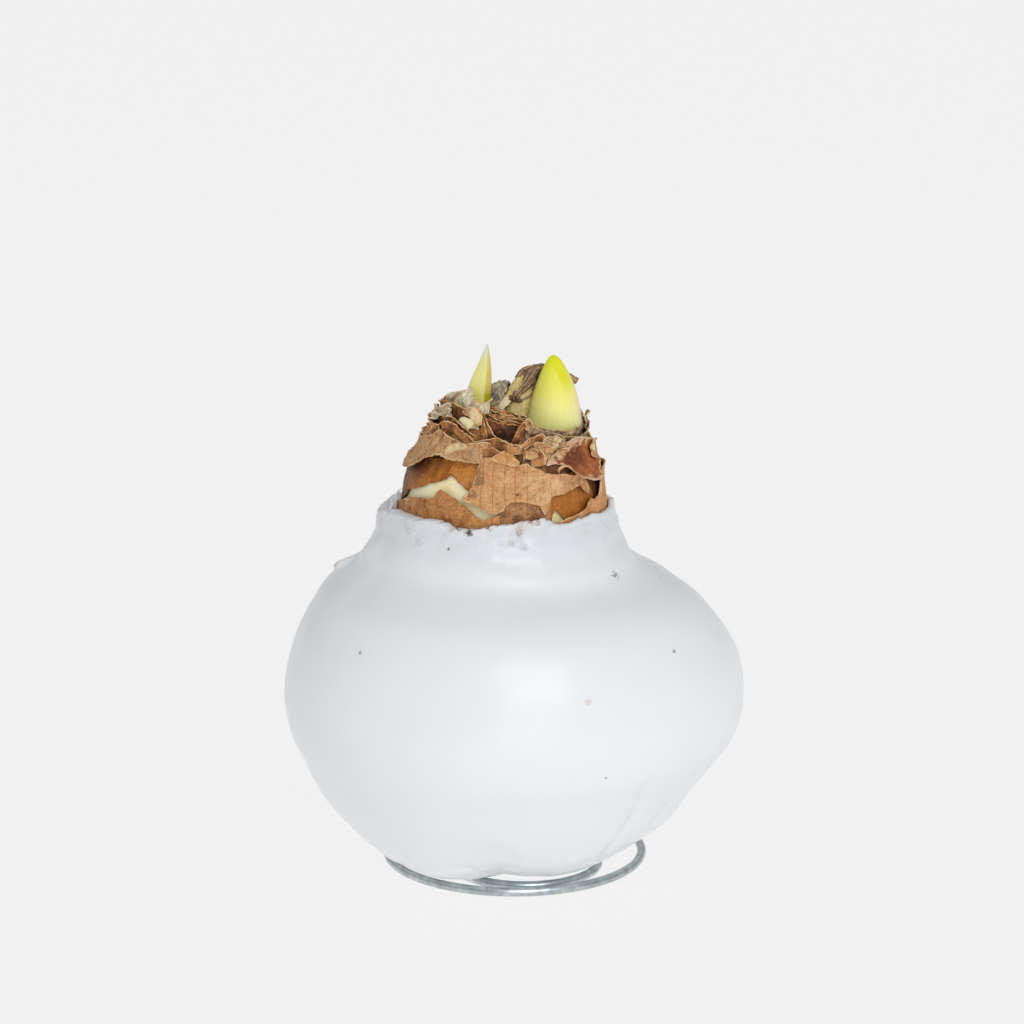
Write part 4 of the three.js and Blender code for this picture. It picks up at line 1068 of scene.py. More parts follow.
def paraffin_wax(specks):
    """Poured paraffin wax: light sinks into it, its gloss is soft, and bits of bulb skin show as brown specks."""
    material, add = new_material("poured_paraffin_wax")
    chosen = settings().wax
    place = add("TexCoord").outputs["Object"]
    split = add("SeparateXYZ", [place])
    blotch = add("TexNoise", {"Vector": place, "Scale": per_metre(4), "Detail": 4})
    wander = add("Math", [blotch, 2.4 * MM, split.outputs[2]], operation="MULTIPLY_ADD")
    # The coat is thick and white up to the shoulder; the band at the shoulder's crease is darkened as painted shade,
    # and the ledge above it is full white again. Towards the rim it greys, partly where the brown neck shows through
    # the thin wax and partly as painted shade on the upright band below the rim.
    level = add("MapRange", [wander, 61.2 * MM, 85.2 * MM, 0, 1])
    shares = ((0, 1), (0.26, 0.8), (0.38, 0.9), (0.47, 1), (0.6, 0.75), (0.76, 0.5), (1, 0.3))
    thick, thin_and_shaded = tuple(chosen.colour), tuple(chosen.shade)
    base = add("ValToRGB", [level], [(at, mid_tone(thin_and_shaded, thick, share)) for at, share in shares])
    # A warm blush where the bulb's skin shows through the thin wax near the rim.
    high = add("MapRange", [split.outputs[2], 76 * MM, 83 * MM, 0, 0.5])
    spots = add("MapRange", [blotch, 0.56, 0.7, 0, 1])
    blush = add("Math", [high, spots], operation="MULTIPLY")
    colour = add("Mix", {0: blush, 6: base, 7: "#cdb3a6"}, **IN_COLOUR)
    frayed = add("TexNoise", {"Vector": place, "Scale": per_metre(0.5), "Detail": 3, "Roughness": 0.7})
    swing = add("Math", [frayed, 0.5], operation="SUBTRACT")
    for middle, radius, ragged, tint, strength in specks:
        gap = add("VectorMath", [place, middle * MM], operation="DISTANCE")
        share = add("Math", [gap, radius * MM], operation="DIVIDE")
        edge = add("Math", [swing, 4 * ragged, share], operation="MULTIPLY_ADD")
        inside = add("MapRange", [edge, 0.3, 1, strength, 0], **SMOOTH)
        colour = add("Mix", {0: inside, 6: colour, 7: tint}, **IN_COLOUR)
    return end_material(material, {
        "Base Color": colour, "Roughness": chosen.roughness, "IOR": 1.44,
        "Subsurface Weight": 0.35, "Subsurface Radius": (1, 0.95, 0.9), "Subsurface Scale": 2.4 * MM,
    })


def bulb_flesh():
    """Living bulb scale: moist cream flesh with green tints, brown and dry at the top of the neck."""
    material, add = new_material("bulb_flesh")
    place = add("TexCoord").outputs["Object"]
    cream = tuple(settings().tunics.cream)
    tints = add("TexNoise", {"Vector": place, "Scale": per_metre(4.5), "Detail": 3})
    living = add("ValToRGB", [tints], [(0.34, "#f6e6ac"), (0.5, cream), (0.66, "#fdf2d4")])
    split = add("SeparateXYZ", [place])
    dry = add("MapRange", [split.outputs[2], 94 * MM, 95.4 * MM, 0, 1])
    husk = add("ValToRGB", [tints], [(0.35, "#2e1a14"), (0.65, "#6b4732")])
    colour = add("Mix", {0: dry, 6: living, 7: husk}, **IN_COLOUR)
    # The moist scale shines, and the dry top is dull.
    dull = add("MapRange", [dry, 0, 1, 0.42, 1])
    fine = add("TexNoise", {"Vector": place, "Scale": per_metre(0.7), "Detail": 3})
    raised = add("Bump", {"Strength": 0.25, "Distance": 0.2 * MM, "Height": fine})
    return end_material(material, {
        "Base Color": colour, "Roughness": dull, "Normal": raised, "IOR": 1.4,
        "Subsurface Weight": 0.25, "Subsurface Radius": (1, 0.8, 0.4), "Subsurface Scale": 1.2 * MM,
    })


def leaf_tip(name, heights, band, band_share, flush):
    """Young leaf tip: waxy, lit through, with fine lines up it. heights are colour stops from its foot to its tip,
    band is a stronger green on the inner leaf, where the outer one folds away, and flush tints the sheltered side."""
    material, add = new_material(name)
    pattern = add("TexCoord").outputs["UV"]
    drawn = add("Mapping", {"Vector": pattern, "Scale": (1 / 0.32, 1 / 14, 1)})
    lines = add("TexNoise", {"Vector": drawn, "Scale": 1, "Detail": 3, "Roughness": 0.55})
    rise, inner, blush = (add("Attribute", attribute_name=label).outputs["Fac"] for label in ("rise", "band", "blush"))
    sway = add("Math", [lines, 0.12, rise], operation="MULTIPLY_ADD")
    body = add("ValToRGB", [sway], heights)
    share = add("Math", [inner, band_share], operation="MULTIPLY")
    banded = add("Mix", {0: share, 6: body, 7: band}, **IN_COLOUR)
    flushed = add("Mix", {0: blush, 6: banded, 7: flush}, **IN_COLOUR)
    streak = add("MapRange", [lines, 0.35, 0.65, 0.95, 1.04])
    lit = add("Mix", {0: 1, 6: flushed, 7: streak}, blend_type="MULTIPLY", **IN_COLOUR)
    raised = add("Bump", {"Strength": 0.2, "Distance": 0.12 * MM, "Height": lines})
    return end_material(material, {
        "Base Color": lit, "Roughness": 0.46, "Normal": raised, "Specular IOR Level": 0.3,
        "Subsurface Weight": 1, "Subsurface Radius": (1, 0.9, 0.4), "Subsurface Scale": 8 * MM,
    })


def thin_wax():
    """Thin clear wax: milky streaks, and glossy where it has cracked off."""
    material, add = new_material("thin_clear_wax")
    place = add("TexCoord").outputs["Object"]
    milk = add("TexNoise", {"Vector": place, "Scale": per_metre(1.3), "Detail": 3})
    clear = add("MapRange", [milk, 0.38, 0.58, 0.25, 0.95])
    return end_material(material, {"Base Color": "#eef1f3", "Roughness": 0.12, "IOR": 1.44, "Alpha": clear})


def studio_floor():
    """Matt card that glows a little itself, so that only soft shadows show on it."""
    material, add = new_material("matt_card")
    white = tuple(settings().stage.floor)
    place = add("TexCoord").outputs["Object"]
    tooth = add("TexNoise", {"Vector": place, "Scale": per_metre(4), "Detail": 2})
    raised = add("Bump", {"Strength": 0.04, "Distance": 0.1 * MM, "Height": tooth})
    return end_material(material, {
        "Base Color": mid_tone("#000000", white, 0.05), "Roughness": 1, "Specular IOR Level": 0,
        "Normal": raised, "Emission Color": white, "Emission Strength": 0.963,
    })


# ---------- the wire stand ----------


def wire_path():
    """The line of the wire: outer turn, inner turn, eye, and the spike that holds the bulb."""
    height = settings().wire.thickness / MM / 2
    start, outer_end, inner_start, inner_end, rise = WIRE["bearings"]
    runs = [
        (start, outer_end, "outer", "outer"), (outer_end, inner_start, "outer", "inner"),
        (inner_start, inner_end, "inner", "inner"), (inner_end, rise, "inner", "eye"),
    ]
    points = []
    for first, last, one, other in runs:
        bearings = np.arange(first, last, -2.0)
        share = 1 - ease(bearings, last, first)
        x, y, radius = (a + (b - a) * share for a, b in zip(WIRE[one], WIRE[other]))
        turn = np.radians(bearings)
        points.append(np.stack([x + radius * np.sin(turn), y - radius * np.cos(turn), np.full_like(x, height)], -1))
    x, y, radius = WIRE["eye"]
    turn, heading = math.radians(rise), math.radians(rise - 90)
    foot = np.array([x + radius * math.sin(turn), y - radius * math.cos(turn), height])
    ahead = np.array([math.sin(heading), -math.cos(heading), 0])
    for angle in np.radians(np.arange(0, 91, 7.5)):
        points.append((foot + WIRE["bend"] * (ahead * math.sin(angle) + np.array([0, 0, 1 - math.cos(angle)])))[None])
    top = points[-1][0].copy()
    top[2] = WIRE["spike_top"]
    points.append(np.linspace(points[-1][0], top, 24)[1:])
    return np.concatenate(points)


def build_wire():
    path = wire_path()
    steps = np.diff(path, axis=0, prepend=2 * path[:1] - path[1:2])
    ahead = steps / np.linalg.norm(steps, axis=1)[:, None]
    length = np.concatenate([[0], np.cumsum(np.linalg.norm(np.diff(path, axis=0), axis=1))])
    # The wire lies level until it rises inside the bulb, so one side direction serves all of it.
    aside = np.stack([ahead[:, 1], -ahead[:, 0], np.zeros(len(path))], -1)
    level = np.linalg.norm(aside, axis=1) > 0.15
    last_level = np.flatnonzero(level)[-1]
    aside[last_level + 1 :] = aside[last_level]
    aside /= np.linalg.norm(aside, axis=1)[:, None]
    above = np.cross(aside, ahead)
    turn = np.linspace(0, 2 * np.pi, WIRE["sides"] + 1)
    radius = settings().wire.thickness / MM / 2
    ring = aside[:, None] * np.cos(turn)[None, :, None] + above[:, None] * np.sin(turn)[None, :, None]
    points = path[:, None] + radius * ring
    # Cut ends, each closed by a ring drawn in to the middle.
    caps = [path[:1, None] + 0.8 * radius * ring[:1], points, path[-1:, None] + 0.3 * radius * ring[-1:]]
    first, last = (np.broadcast_to(end[:, None], ring[:1].shape) for end in (path[:1], path[-1:]))
    points = np.concatenate([first, *caps, last])
    length = np.concatenate([length[:1], length[:1], length, length[-1:], length[-1:]])
    pattern = np.stack(np.broadcast_arrays((turn * radius)[None, :], length[:, None]), -1)
    wire = shaped_grid("wire", points, pattern=pattern)
    close_seams()
    return finish_piece(wire, galvanised_steel(), "galvanised_wire", "wire_stand")


# ---------- the wax coat ----------


def wax_radius(bearing, height):
    """The coat's outer radius, as on the solid, with its grooves, bumps and the unevenness of poured wax."""
    wrapped = wrap(bearing)
    lump = straight(WAX_LUMPS, wrapped) * np.exp(-np.maximum(height - WAX_PROFILE[0][0], 0) / WAX["lump_fade"])
    turn = np.radians(wrapped)
    sway = sum(size * np.sin(count * turn + height / rise) for size, count, rise in WAX_WAVES)
    pinch = WAX["pinch"] * np.cos(turn) ** 2 * ease(height, WAX["pinch_from"], WAX["rim"])
    radius = along(WAX_PROFILE, height) + lump + sway * np.sin(np.pi * height / WAX["rim"]) - pinch
    for line, width, depth in WAX_GROOVES:
        radius = radius - depth * np.exp(-((distance_to_line(line, wrapped, height, radius) / width) ** 2))
    for middle, level, size, lift in WAX_BUMPS:
        across = np.radians(wrap(wrapped - middle)) * radius
        radius = radius + lift * np.exp(-(across**2 + (height - level) ** 2) / size**2)
    folds = 0.22 * np.sin(height * 2 * np.pi / 6.5 + 1.4 * np.sin(2 * turn)) * ease(height, 62, 68)
    return radius + folds * (1 - ease(height, 78, 82))


def wax_points(bearing, height, inset=0.0):
    return around(along(WAX_PROFILE, height, 2), bearing, wax_radius(bearing, height) - inset, height)


def soften_lumps(points):
    """The unevenness of poured wax: slow over the belly, and tighter towards the rim."""
    near_rim = ease(points[..., 2], 68, 80)[..., None]
    middle = points * np.array([1, 1, 0])
    outwards = middle / np.maximum(np.linalg.norm(middle, axis=-1, keepdims=True), 1)
    slow = 0.3 * rough(points, 16, 2, seed=1)[..., None]
    tight = 0.22 * rough(points, 3.6, 3, seed=2, stretch=(1, 1, 0.7))[..., None]
    return points + outwards * (slow + near_rim * tight)


def build_wax():
    chosen = settings().wax
    inset, foot = WAX["foot_inset"], WAX_PROFILE[0][0]
    bearing = np.linspace(-180, 180, WAX["columns"] + 1)
    ring = around(0, bearing, 26, 0)
    wear = chosen.wear / MM
    rim = straight(WAX_RIM, bearing) + wear * rough(ring, 2.2, 3, seed=5) + 0.4 * wear * rough(ring, 0.9, 2, seed=6)
    paper = straight(OUTER_LAYER, WAX["rim"]) + buckle(bearing, 84)
    rows = []
    # the hollow under the foot, from its middle outwards
    foot_radius = wax_radius(bearing, np.full_like(bearing, foot))
    for share in np.linspace(0, 1, 14)[:-1]:
        height = foot + WAX["foot_hollow"] * (1 - ease(share, 0.1, 0.95))
        rows.append(around(-0.5, bearing, share * (foot_radius - inset), height))
    for angle in np.radians([0, 22, 45, 68]):
        edge = foot_radius - inset * (1 - math.sin(angle))
        rows.append(around(-0.5, bearing, edge, foot + 0.25 * (1 - math.cos(angle)) - 0.12))
    under_foot = len(rows)
    # the outside, from the foot up to the rim
    for share in np.linspace(0, 1, 176):
        eased = share - 0.5 * math.sin(2 * math.pi * share) / (2 * math.pi)
        height = foot + (rim - 0.45 - foot) * eased
        rows.append(wax_points(bearing, height))
    outside = np.array(rows)
    outside[under_foot + 1 :] = soften_lumps(outside[under_foot + 1 :])
    # the rim: it rounds over from the outside to the wall of the throat
    edge = outside[-1]
    lean = straight(NECK_LEAN, 83)
    throat = around(lean, bearing, paper + straight(WAX_GAP, bearing), rim - 0.5)
    reach = np.linalg.norm((edge - throat)[:, :2], axis=1)
    over = []
    for angle in np.radians([20, 45, 70, 90, 115, 140, 165]):
        share = (1 - math.cos(angle)) / 2
        crest = np.minimum(0.5, 0.5 * reach) * math.sin(angle)
        over.append(edge + (throat - edge) * share + crest[:, None] * np.array([0, 0, 1]))
    inside = [throat]
    for height in np.linspace(81, 73, 14):
        inside.append(around(lean, bearing, paper + straight(WAX_GAP, bearing) + 0.15, np.minimum(height, rim - 0.6)))
    for height in np.linspace(71, WAX["floor"], 30):
        inside.append(wax_points(bearing, np.full_like(bearing, height), WAX["wall"]))
    inside.append(around(-1.5, bearing, 0 * bearing, WAX["floor"]))
    points = np.concatenate([outside, over, inside])
    coat = shaped_grid("wax", points)
    close_seams()
    specks = []
    for middle, level, *look in WAX_SPECKS:
        place = wax_points(np.array([float(middle)]), np.array([float(level)]))[0]
        specks.append((Vector(place.tolist()), *look))
    return finish_piece(coat, paraffin_wax(specks), "wax", "wax_coat", angle=75)


# ---------- the bulb's flesh ----------


def build_flesh():
    bearing = np.linspace(-180, 180, 181)
    rows = [around(-1.5, bearing, 0 * bearing, WAX["floor"] + 0.4)]
    for height in np.linspace(WAX["floor"] + 0.4, 70, 46):
        rows.append(wax_points(bearing, np.full_like(bearing, height), WAX["wall"] + 0.8))
    for height in np.linspace(73, 98, 60):
        radius = along(FLESH_PROFILE, height) + buckle(bearing, height)
        rows.append(around(along(NECK_LEAN, height), bearing, radius, height))
    top = np.array(rows[-1])
    middle = np.array([straight(NECK_LEAN, 98), 0, 98.4])
    for share in (0.2, 0.45, 0.7, 0.9, 1):
        rows.append(top + (middle - top) * share)
    points = np.array(rows)
    dry = ease(points[..., 2], 95.5, 98)[..., None]
    points = points + np.array([0, 0, 1]) * dry * 0.7 * creases(points, 2.4, seed=12)[..., None]
    points[-1] = points[-1].mean(axis=0)
    flesh = shaped_grid("flesh", points)
    close_seams()
    return finish_piece(flesh, bulb_flesh(), "bulb_flesh", "bulb")


# ---------- the tunics ----------


def buckle(bearing, height):
    """The slow buckle that the flesh and all tunics share above the wax. The neck is flatter at the left."""
    turn = np.radians(bearing)
    above = ease(height, WAX["rim"], WAX["rim"] + 8)
    waves = above * (0.25 * np.sin(5 * turn + height / 5) + 0.12 * np.sin(8 * turn - height / 6))
    share = ease(height, 80, 86) * (0.25 + 0.75 * ease(height, 90.5, 93.5)) * (1 - ease(height, 105, 108))
    return waves - FLATTER_LEFT * share * np.maximum(-np.sin(turn), 0) ** 2


def shared_crumple(bearing, height):
    """The crumpling that all upper layers share, so that they don't cut through each other."""
    points = around(0, bearing, 20, height)
    above = ease(height, 90, 98)
    return above * (0.4 * rough(points, 6, 2, seed=3) + 0.16 * creases(points, 2.6, seed=4, stretch=(1, 1, 0.8)))


def torn_line(points, seed):
    """How far a torn edge strays from its line: long tears with small sharp teeth."""
    teeth = 0.45 * creases(points, 1.7, seed + 1) + 0.25 * creases(points, 0.7, seed + 2)
    return 0.9 * rough(points, 4.5, 2, seed) + teeth


def curl(distance, angle, length):
    """How far a curled edge moves along and off its sheet, for points at a distance from the edge."""
    run = np.clip(length - distance, 0, None)
    radius = length / np.where(np.abs(angle) < 0.05, 0.05, angle)
    bend = run / radius
    return radius * np.sin(bend) - run, radius * (1 - np.cos(bend))


def spot_values(spots, bearing, height):
    """One value from 0 to 1 for each kind of spot, fading out round each spot."""
    values = {kind: np.zeros(np.shape(height)) for kind in SPOT_KINDS}
    for kind, middle, level, radius, strength in spots:
        across = np.radians(bearing - middle) * NECK_REACH
        distance = np.hypot(across, height - level)
        values[kind] = np.maximum(values[kind], strength * (1 - ease(distance, 0.35 * radius, 1.15 * radius)))
    return values


def sheet_piece(form, seed, material):
    """Builds one torn sheet of dry tunic round the neck from its values."""
    chosen = settings().tunics
    grain, reach = chosen.grain / MM, NECK_REACH
    start, end = form["run"]
    ring = end - start >= 360
    sample = np.linspace(start, end, 40)
    tall = float(np.max(straight(form["high"], sample) - straight(form["low"], sample)))
    columns = round(math.radians(end - start) * reach / grain)
    across, up = grid(columns, max(8, round(tall / grain)))
    up = up - 0.55 * np.sin(2 * np.pi * up) / (2 * np.pi)
    low_tear, high_tear, end_tear = form["tear"]
    if ring:
        bearing = start + (end - start) * across
    else:
        side = np.stack([up * tall, np.zeros_like(up), np.zeros_like(up)], -1)
        left = start + np.degrees(end_tear * torn_line(side, seed + 20) / reach)
        right = end + np.degrees(end_tear * torn_line(side, seed + 30) / reach)
        bearing = left + (right - left) * across
    edge_points = around(0, bearing, reach, 0)
    wander = {}
    for key, tear in (("low", low_tear), ("high", high_tear)):
        wander[key] = straight(form[key], bearing) + (tear * torn_line(edge_points, seed + ord(key[0])) if tear else 0)
    turns = {}
    for key in ("low", "high"):
        degrees, length = form.get("curl_" + key, (0, 1))
        varied = 0.75 + 0.55 * rough(edge_points, 5, 2, seed + 40 + ord(key[0]))
        angle = np.radians(degrees) * np.clip(varied, 0.15, 1.4)
        turns[key] = (angle, length)
    # A curled edge is longer than it looks, so that its fold ends at the edge's own height.
    for key, sign in (("low", -1), ("high", 1)):
        angle, length = turns[key]
        bent = np.clip(np.abs(angle), 0.05, None)
        wander[key] = wander[key] + sign * (length - length / bent * np.sin(np.minimum(bent, np.pi / 2)))
    high = np.maximum(wander["high"], wander["low"] + 0.5)
    height = wander["low"] + (high - wander["low"]) * up
    from_low, from_high = height - wander["low"], high - height
    flare_low, flare_high = form.get("flare", (0, 0))
    points = around(0, bearing, reach, height)
    radius = along(form["outside"], height) + buckle(bearing, height) + shared_crumple(bearing, height)
    radius = radius + flare_low * (1 - ease(from_low, 0, 3)) + flare_high * (1 - ease(from_high, 0, 3))
    own = form.get("crumple", 0.05)
    radius = radius + own * (0.35 + 1.1 * rough(points, 2.6, 2, seed + 50) + 0.75 * creases(points, 1.5, seed + 51))
    ridges = np.maximum(creases(points, 2.2, seed + 52, stretch=(1, 1, 6)), -0.7)
    radius = radius + form.get("ridges", 0.06) * ridges
    radius = radius + (0.05 + 0.2 * own) * rough(points, 0.95, 2, seed + 53, stretch=(1, 1, 0.8))
    level = height
    for key, distance, sign in (("low", from_low, -1), ("high", from_high, 1)):
        slide, lift = curl(distance, *turns[key])
        level = level + sign * slide
        radius = radius + lift
    # The ends of a sheet that another layer grips show no torn rim.
    away = np.minimum(across, 1 - across) * math.radians(end - start) * reach
    if ring or form.get("gripped"):
        away = np.full(np.shape(height), np.inf)
    low_edge = from_low if low_tear else np.full(np.shape(height), FAR_FROM_TEAR)
    tear = np.minimum(np.minimum(low_edge, from_high), away)
    values = {"tear": tear, **spot_values(form.get("spots", ()), bearing, height)}
    pattern = np.stack([np.radians(bearing) * reach, height], -1)
    piece = shaped_grid(form["name"], around(along(NECK_LEAN, level), bearing, radius, level), values, pattern)
    if ring:
        close_seams(solid=False)
    thicken(piece, chosen.thickness)
    nodes = [form["replaces"]] if "replaces" in form else []
    return finish_piece(piece, material, form["slot"], *nodes)


def build_tunics(papers):
    for index, form in enumerate(TUNICS):
        sheet_piece(form, index + 1, papers[form["finish"]])


def cup_forms():
    """The thin layers of the cup before the old leaf, each a little lower and further out."""
    start, end = CUP_LAYERS["run"]
    forms = []
    for layer in range(CUP_LAYERS["count"]):
        radius = CUP_LAYERS["radius"] - CUP_LAYERS["spacing"] * layer
        drop = CUP_LAYERS["drop"] * (CUP_LAYERS["count"] - 1 - layer)
        low = CUP_LAYERS["low"] + layer * 0.8
        forms.append(dict(
            name=f"scrap_cup_{layer + 1}", slot="brown_tunic", finish=("brown", "plain")[layer % 2],
            run=(start + 2 * layer, end - 1.5 * (layer % 2)), low=[[start, low], [end, low]],
            high=[[b, z - drop] for b, z in CUP_LAYERS["high"]],
            outside=[[100, radius + 0.3], [104, radius], [107, radius - 1.2]], tear=(0, 0.3, 0.3), crumple=0.5,
            # Each layer's stain is painted shade, low on the layer at the back of the dark hollow.
            curl_high=(80, 0.9), spots=[("stain", -4 + 6 * layer, 103 - drop, 2.4, 0.5)],
        ))
    return forms


def back_forms():
    """Torn layers round the back and the right, drawn by chance."""
    draw = np.random.default_rng(BACK_LAYERS["seed"])
    finishes = [
        ("brown_tunic", "brown"), ("brown_tunic", "plain"), ("grey_brown_tunic", "ash"),
        ("grey_brown_tunic", "bleached"),
    ]
    forms = []
    for number in range(BACK_LAYERS["count"]):
        width = draw.uniform(*BACK_LAYERS["width"])
        start = draw.uniform(BACK_LAYERS["from"], BACK_LAYERS["to"] - width)
        low = draw.uniform(*BACK_LAYERS["low"])
        top = low + draw.uniform(*BACK_LAYERS["height"])
        slot, finish = finishes[draw.choice(len(finishes), p=[0.4, 0.25, 0.25, 0.1])]
        bearings = np.linspace(start, start + width, 7)
        low_line = [[b, low + z] for b, z in zip(bearings, draw.uniform(-0.6, 0.6, 7))]
        high_line = [[b, top + z] for b, z in zip(bearings, draw.uniform(-1, 0.8, 7))]
        lift = draw.uniform(0.1, 0.7)
        forms.append(dict(
            name=f"scrap_back_{number + 1}", slot=slot, finish=finish, run=(start, start + width), low=low_line,
            high=high_line,
            outside=[[z, straight(BACK_LAYERS["radius"], z) + lift] for z in (low - 1, (low + top) / 2, top + 1)],
            tear=(0.3, 0.3, 0.4), crumple=0.35, curl_low=(draw.uniform(20, 70), 0.9),
            curl_high=(draw.uniform(30, 100), 0.9),
            spots=[
                ("stain", draw.uniform(start, start + width), low + 1, 2, 0.6),
                ("pale", draw.uniform(start, start + width), top - 1, 1.6, 0.4),
            ],
        ))
    return forms


def inner_forms(rings):
    """Broken leaf bases inside the cup."""
    draw = np.random.default_rng(rings["seed"])
    forms = []
    for layer in range(rings["count"]):
        radius = rings["radius"] - rings["spacing"] * layer
        start = rings["from"] + rings["later"] * layer
        end = rings["to"] - rings["sooner"] * layer
        top = rings["high"] - rings["drop"] * layer
        bearings = np.linspace(start, end, 14)
        forms.append(dict(
            name=f"{rings['name']}_{layer + 1}", slot="grey_brown_tunic", finish=("ash", "brown", "plain")[layer % 3],
            run=(start, end), low=[[start, rings["low"]], [end, rings["low"]]],
            high=[[b, top + z] for b, z in zip(bearings, draw.uniform(-0.9, 0.9, 14))],
            outside=[[97, radius], [102, radius - 0.3]], tear=(0, 0.25, 0.3), crumple=0.4,
            curl_high=(draw.uniform(-50, 60), 0.7), spots=[("stain", draw.uniform(start, end), top - 1, 3, 0.7)],
        ))
    return forms


def build_scraps(papers):
    inner = [form for rings in INNER_LAYERS for form in inner_forms(rings)]
    for index, form in enumerate([*SCRAPS, *cup_forms(), *back_forms(), *inner]):
        sheet_piece(form, index + 101, papers[form["finish"]])
    build_thread(papers["plain"])
    build_wax_flake()


def ribbon_through(lines, columns, rows):
    """Points on a smooth sheet through lines that run along it."""
    lines = np.asarray(lines, float)
    across, up = np.linspace(0, 1, columns + 1), np.linspace(0, 1, rows + 1)
    stations, ribs = np.linspace(0, 1, lines.shape[1]), np.linspace(0, 1, lines.shape[0])
    smooth = np.stack([
        np.stack([along(np.stack([stations, line[:, axis]], -1), across) for axis in range(3)], -1) for line in lines
    ])
    result = np.empty((rows + 1, columns + 1, 3))
    for column in range(columns + 1):
        for axis in range(3):
            result[:, column, axis] = along(np.stack([ribs, smooth[:, column, axis]], -1), up)
    return result


def normals_of(points):
    """Unit normals of a sheet of points, row by row."""
    normal = np.cross(np.gradient(points, axis=1), np.gradient(points, axis=0))
    return normal / np.maximum(np.linalg.norm(normal, axis=-1, keepdims=True), 1e-9)


def leaf_sheet(lines, grain, crumple, seed, spots=(), fray=0.25):
    """A crumpled sheet through lines, with values for its finish."""
    lines = np.asarray(lines, float)
    long = float(np.linalg.norm(np.diff(lines[len(lines) // 2], axis=0), axis=1).sum())
    wide = float(np.linalg.norm(np.diff(lines[:, lines.shape[1] // 2], axis=0), axis=1).sum())
    columns, rows = max(8, round(long / grain)), max(8, round(wide / grain))
    points = ribbon_through(lines, columns, rows)
    across, up = grid(columns, rows)
    normal = normals_of(points)
    fields = crumple * (rough(points, 2, 2, seed) + 0.7 * creases(points, 1.1, seed + 1))
    points = points + normal * fields[..., None]
    edge = np.stack([np.minimum(across, 1 - across) * long, np.minimum(up, 1 - up) * wide])
    tear = edge.min(axis=0)
    # The long edges are frayed, by drawing them in and out across the sheet.
    pull = fray * torn_line(points, seed + 3) * (1 - ease(tear, 0, 0.8))
    sheet_up = np.gradient(points, axis=0)
    sheet_up /= np.maximum(np.linalg.norm(sheet_up, axis=-1, keepdims=True), 1e-9)
    points = points + sheet_up * (pull * np.sign(up - 0.5))[..., None]
    values = plain_values(tear)
    for kind, place, radius, strength in spots:
        distance = np.linalg.norm(points - np.asarray(place, float), axis=-1)
        values[kind] = np.maximum(values[kind], strength * (1 - ease(distance, 0.3 * radius, 1.2 * radius)))
    return points, values, np.stack([up * wide, across * long], -1)


def build_thread(paper):
    """The thin loop of torn paper that springs from the edge of the veined tunic."""
    line = [[34, 93], [33.6, 93.6], [34, 94.3], [36.5, 94.8], [40, 94.6], [44, 93.6], [47, 92.6], [50.5, 91.6]]
    radii = [21.9, 22, 22.1, 22.2, 22.2, 22.1, 22, 21.9]
    steps = np.linspace(0, 1, 60)
    stations = np.linspace(0, 1, len(line))
    bearing, height, radius = (
        along(np.stack([stations, values], -1), steps) for values in (*np.array(line).T, np.array(radii))
    )
    rows = [
        around(along(NECK_LEAN, height), bearing, radius + out, height + rise)
        for out, rise in ((-0.5, -0.05), (-0.15, 0.05), (0.1, 0), (0.15, -0.22), (0, -0.34))
    ]
    points = np.array(rows)
    points = points + 0.1 * rough(points, 1.4, 2, seed=77)[..., None]
    pattern = np.stack(np.broadcast_arrays(steps[None] * 9, np.linspace(0, 0.8, 5)[:, None]), -1)
    thread = shaped_grid("scrap_loop", points, plain_values(np.zeros(points.shape[:2])), pattern)
    thicken(thread, 0.16 * MM, 0)
    return finish_piece(thread, paper, "brown_tunic")


def build_wax_flake():
    """The thin clear flake of wax that has come off the paper at the left."""
    lines = [
        [(-27.4, -4, 81.2), (-26.8, -4, 82.4), (-26.1, -3.8, 83.6), (-25.2, -3.2, 84.8)],
        [(-27.4, -1.4, 81.2), (-26.8, -1.8, 83.2), (-26, -2, 84.9), (-24.7, -2.2, 86.1)],
        [(-27.3, 2.2, 81.2), (-26.7, 1.4, 82), (-26.1, 0.4, 83), (-25.4, -0.8, 84.2)],
    ]
    points = ribbon_through(lines, 26, 22)
    points = points + normals_of(points) * (0.2 * rough(points, 1.5, 2, seed=88))[..., None]
    flake = shaped_grid("wax_flake", points)
    thicken(flake, 0.22 * MM, 0)
    return finish_piece(flake, thin_wax(), "wax")


# ---------- shoots and old leaf ----------


def tip_points(sections, columns, rows, outline):
    """A closed pointed body through level sections. outline gives how far it reaches at each bearing and height."""
    sections = np.asarray(sections, float)
    bearing = np.linspace(-180, 180, columns + 1)
    share = np.linspace(0, 1, rows + 1)
    heights = sections[0, 2] + (sections[-1, 2] - sections[0, 2]) * np.sin(share * np.pi / 2) ** 0.9
    by_height = sections[:, [2, 0, 1, 3, 4]]
    turn = np.radians(bearing)
    rows_of_points = []
    for height in heights:
        x, y, wide, deep = (along(by_height, height, column) for column in (1, 2, 3, 4))
        reach = outline(bearing, height)
        rows_of_points.append(np.stack([
            x + wide * reach * np.sin(turn), y - deep * reach * np.cos(turn), np.full_like(turn, height)
        ], -1))
    first, last = rows_of_points[0], rows_of_points[-1]
    tip = last.mean(axis=0) + np.array([0, 0, 0.5 * float(sections[-1, 3])])
    foot, tip = (np.broadcast_to(end, first.shape) for end in (first.mean(axis=0), tip))
    points = np.array([foot, *rows_of_points, tip])
    height = points[..., 2]
    rise = (height - 100) / (sections[-1, 2] - 100)
    return points, np.broadcast_to(bearing, height.shape), height, rise


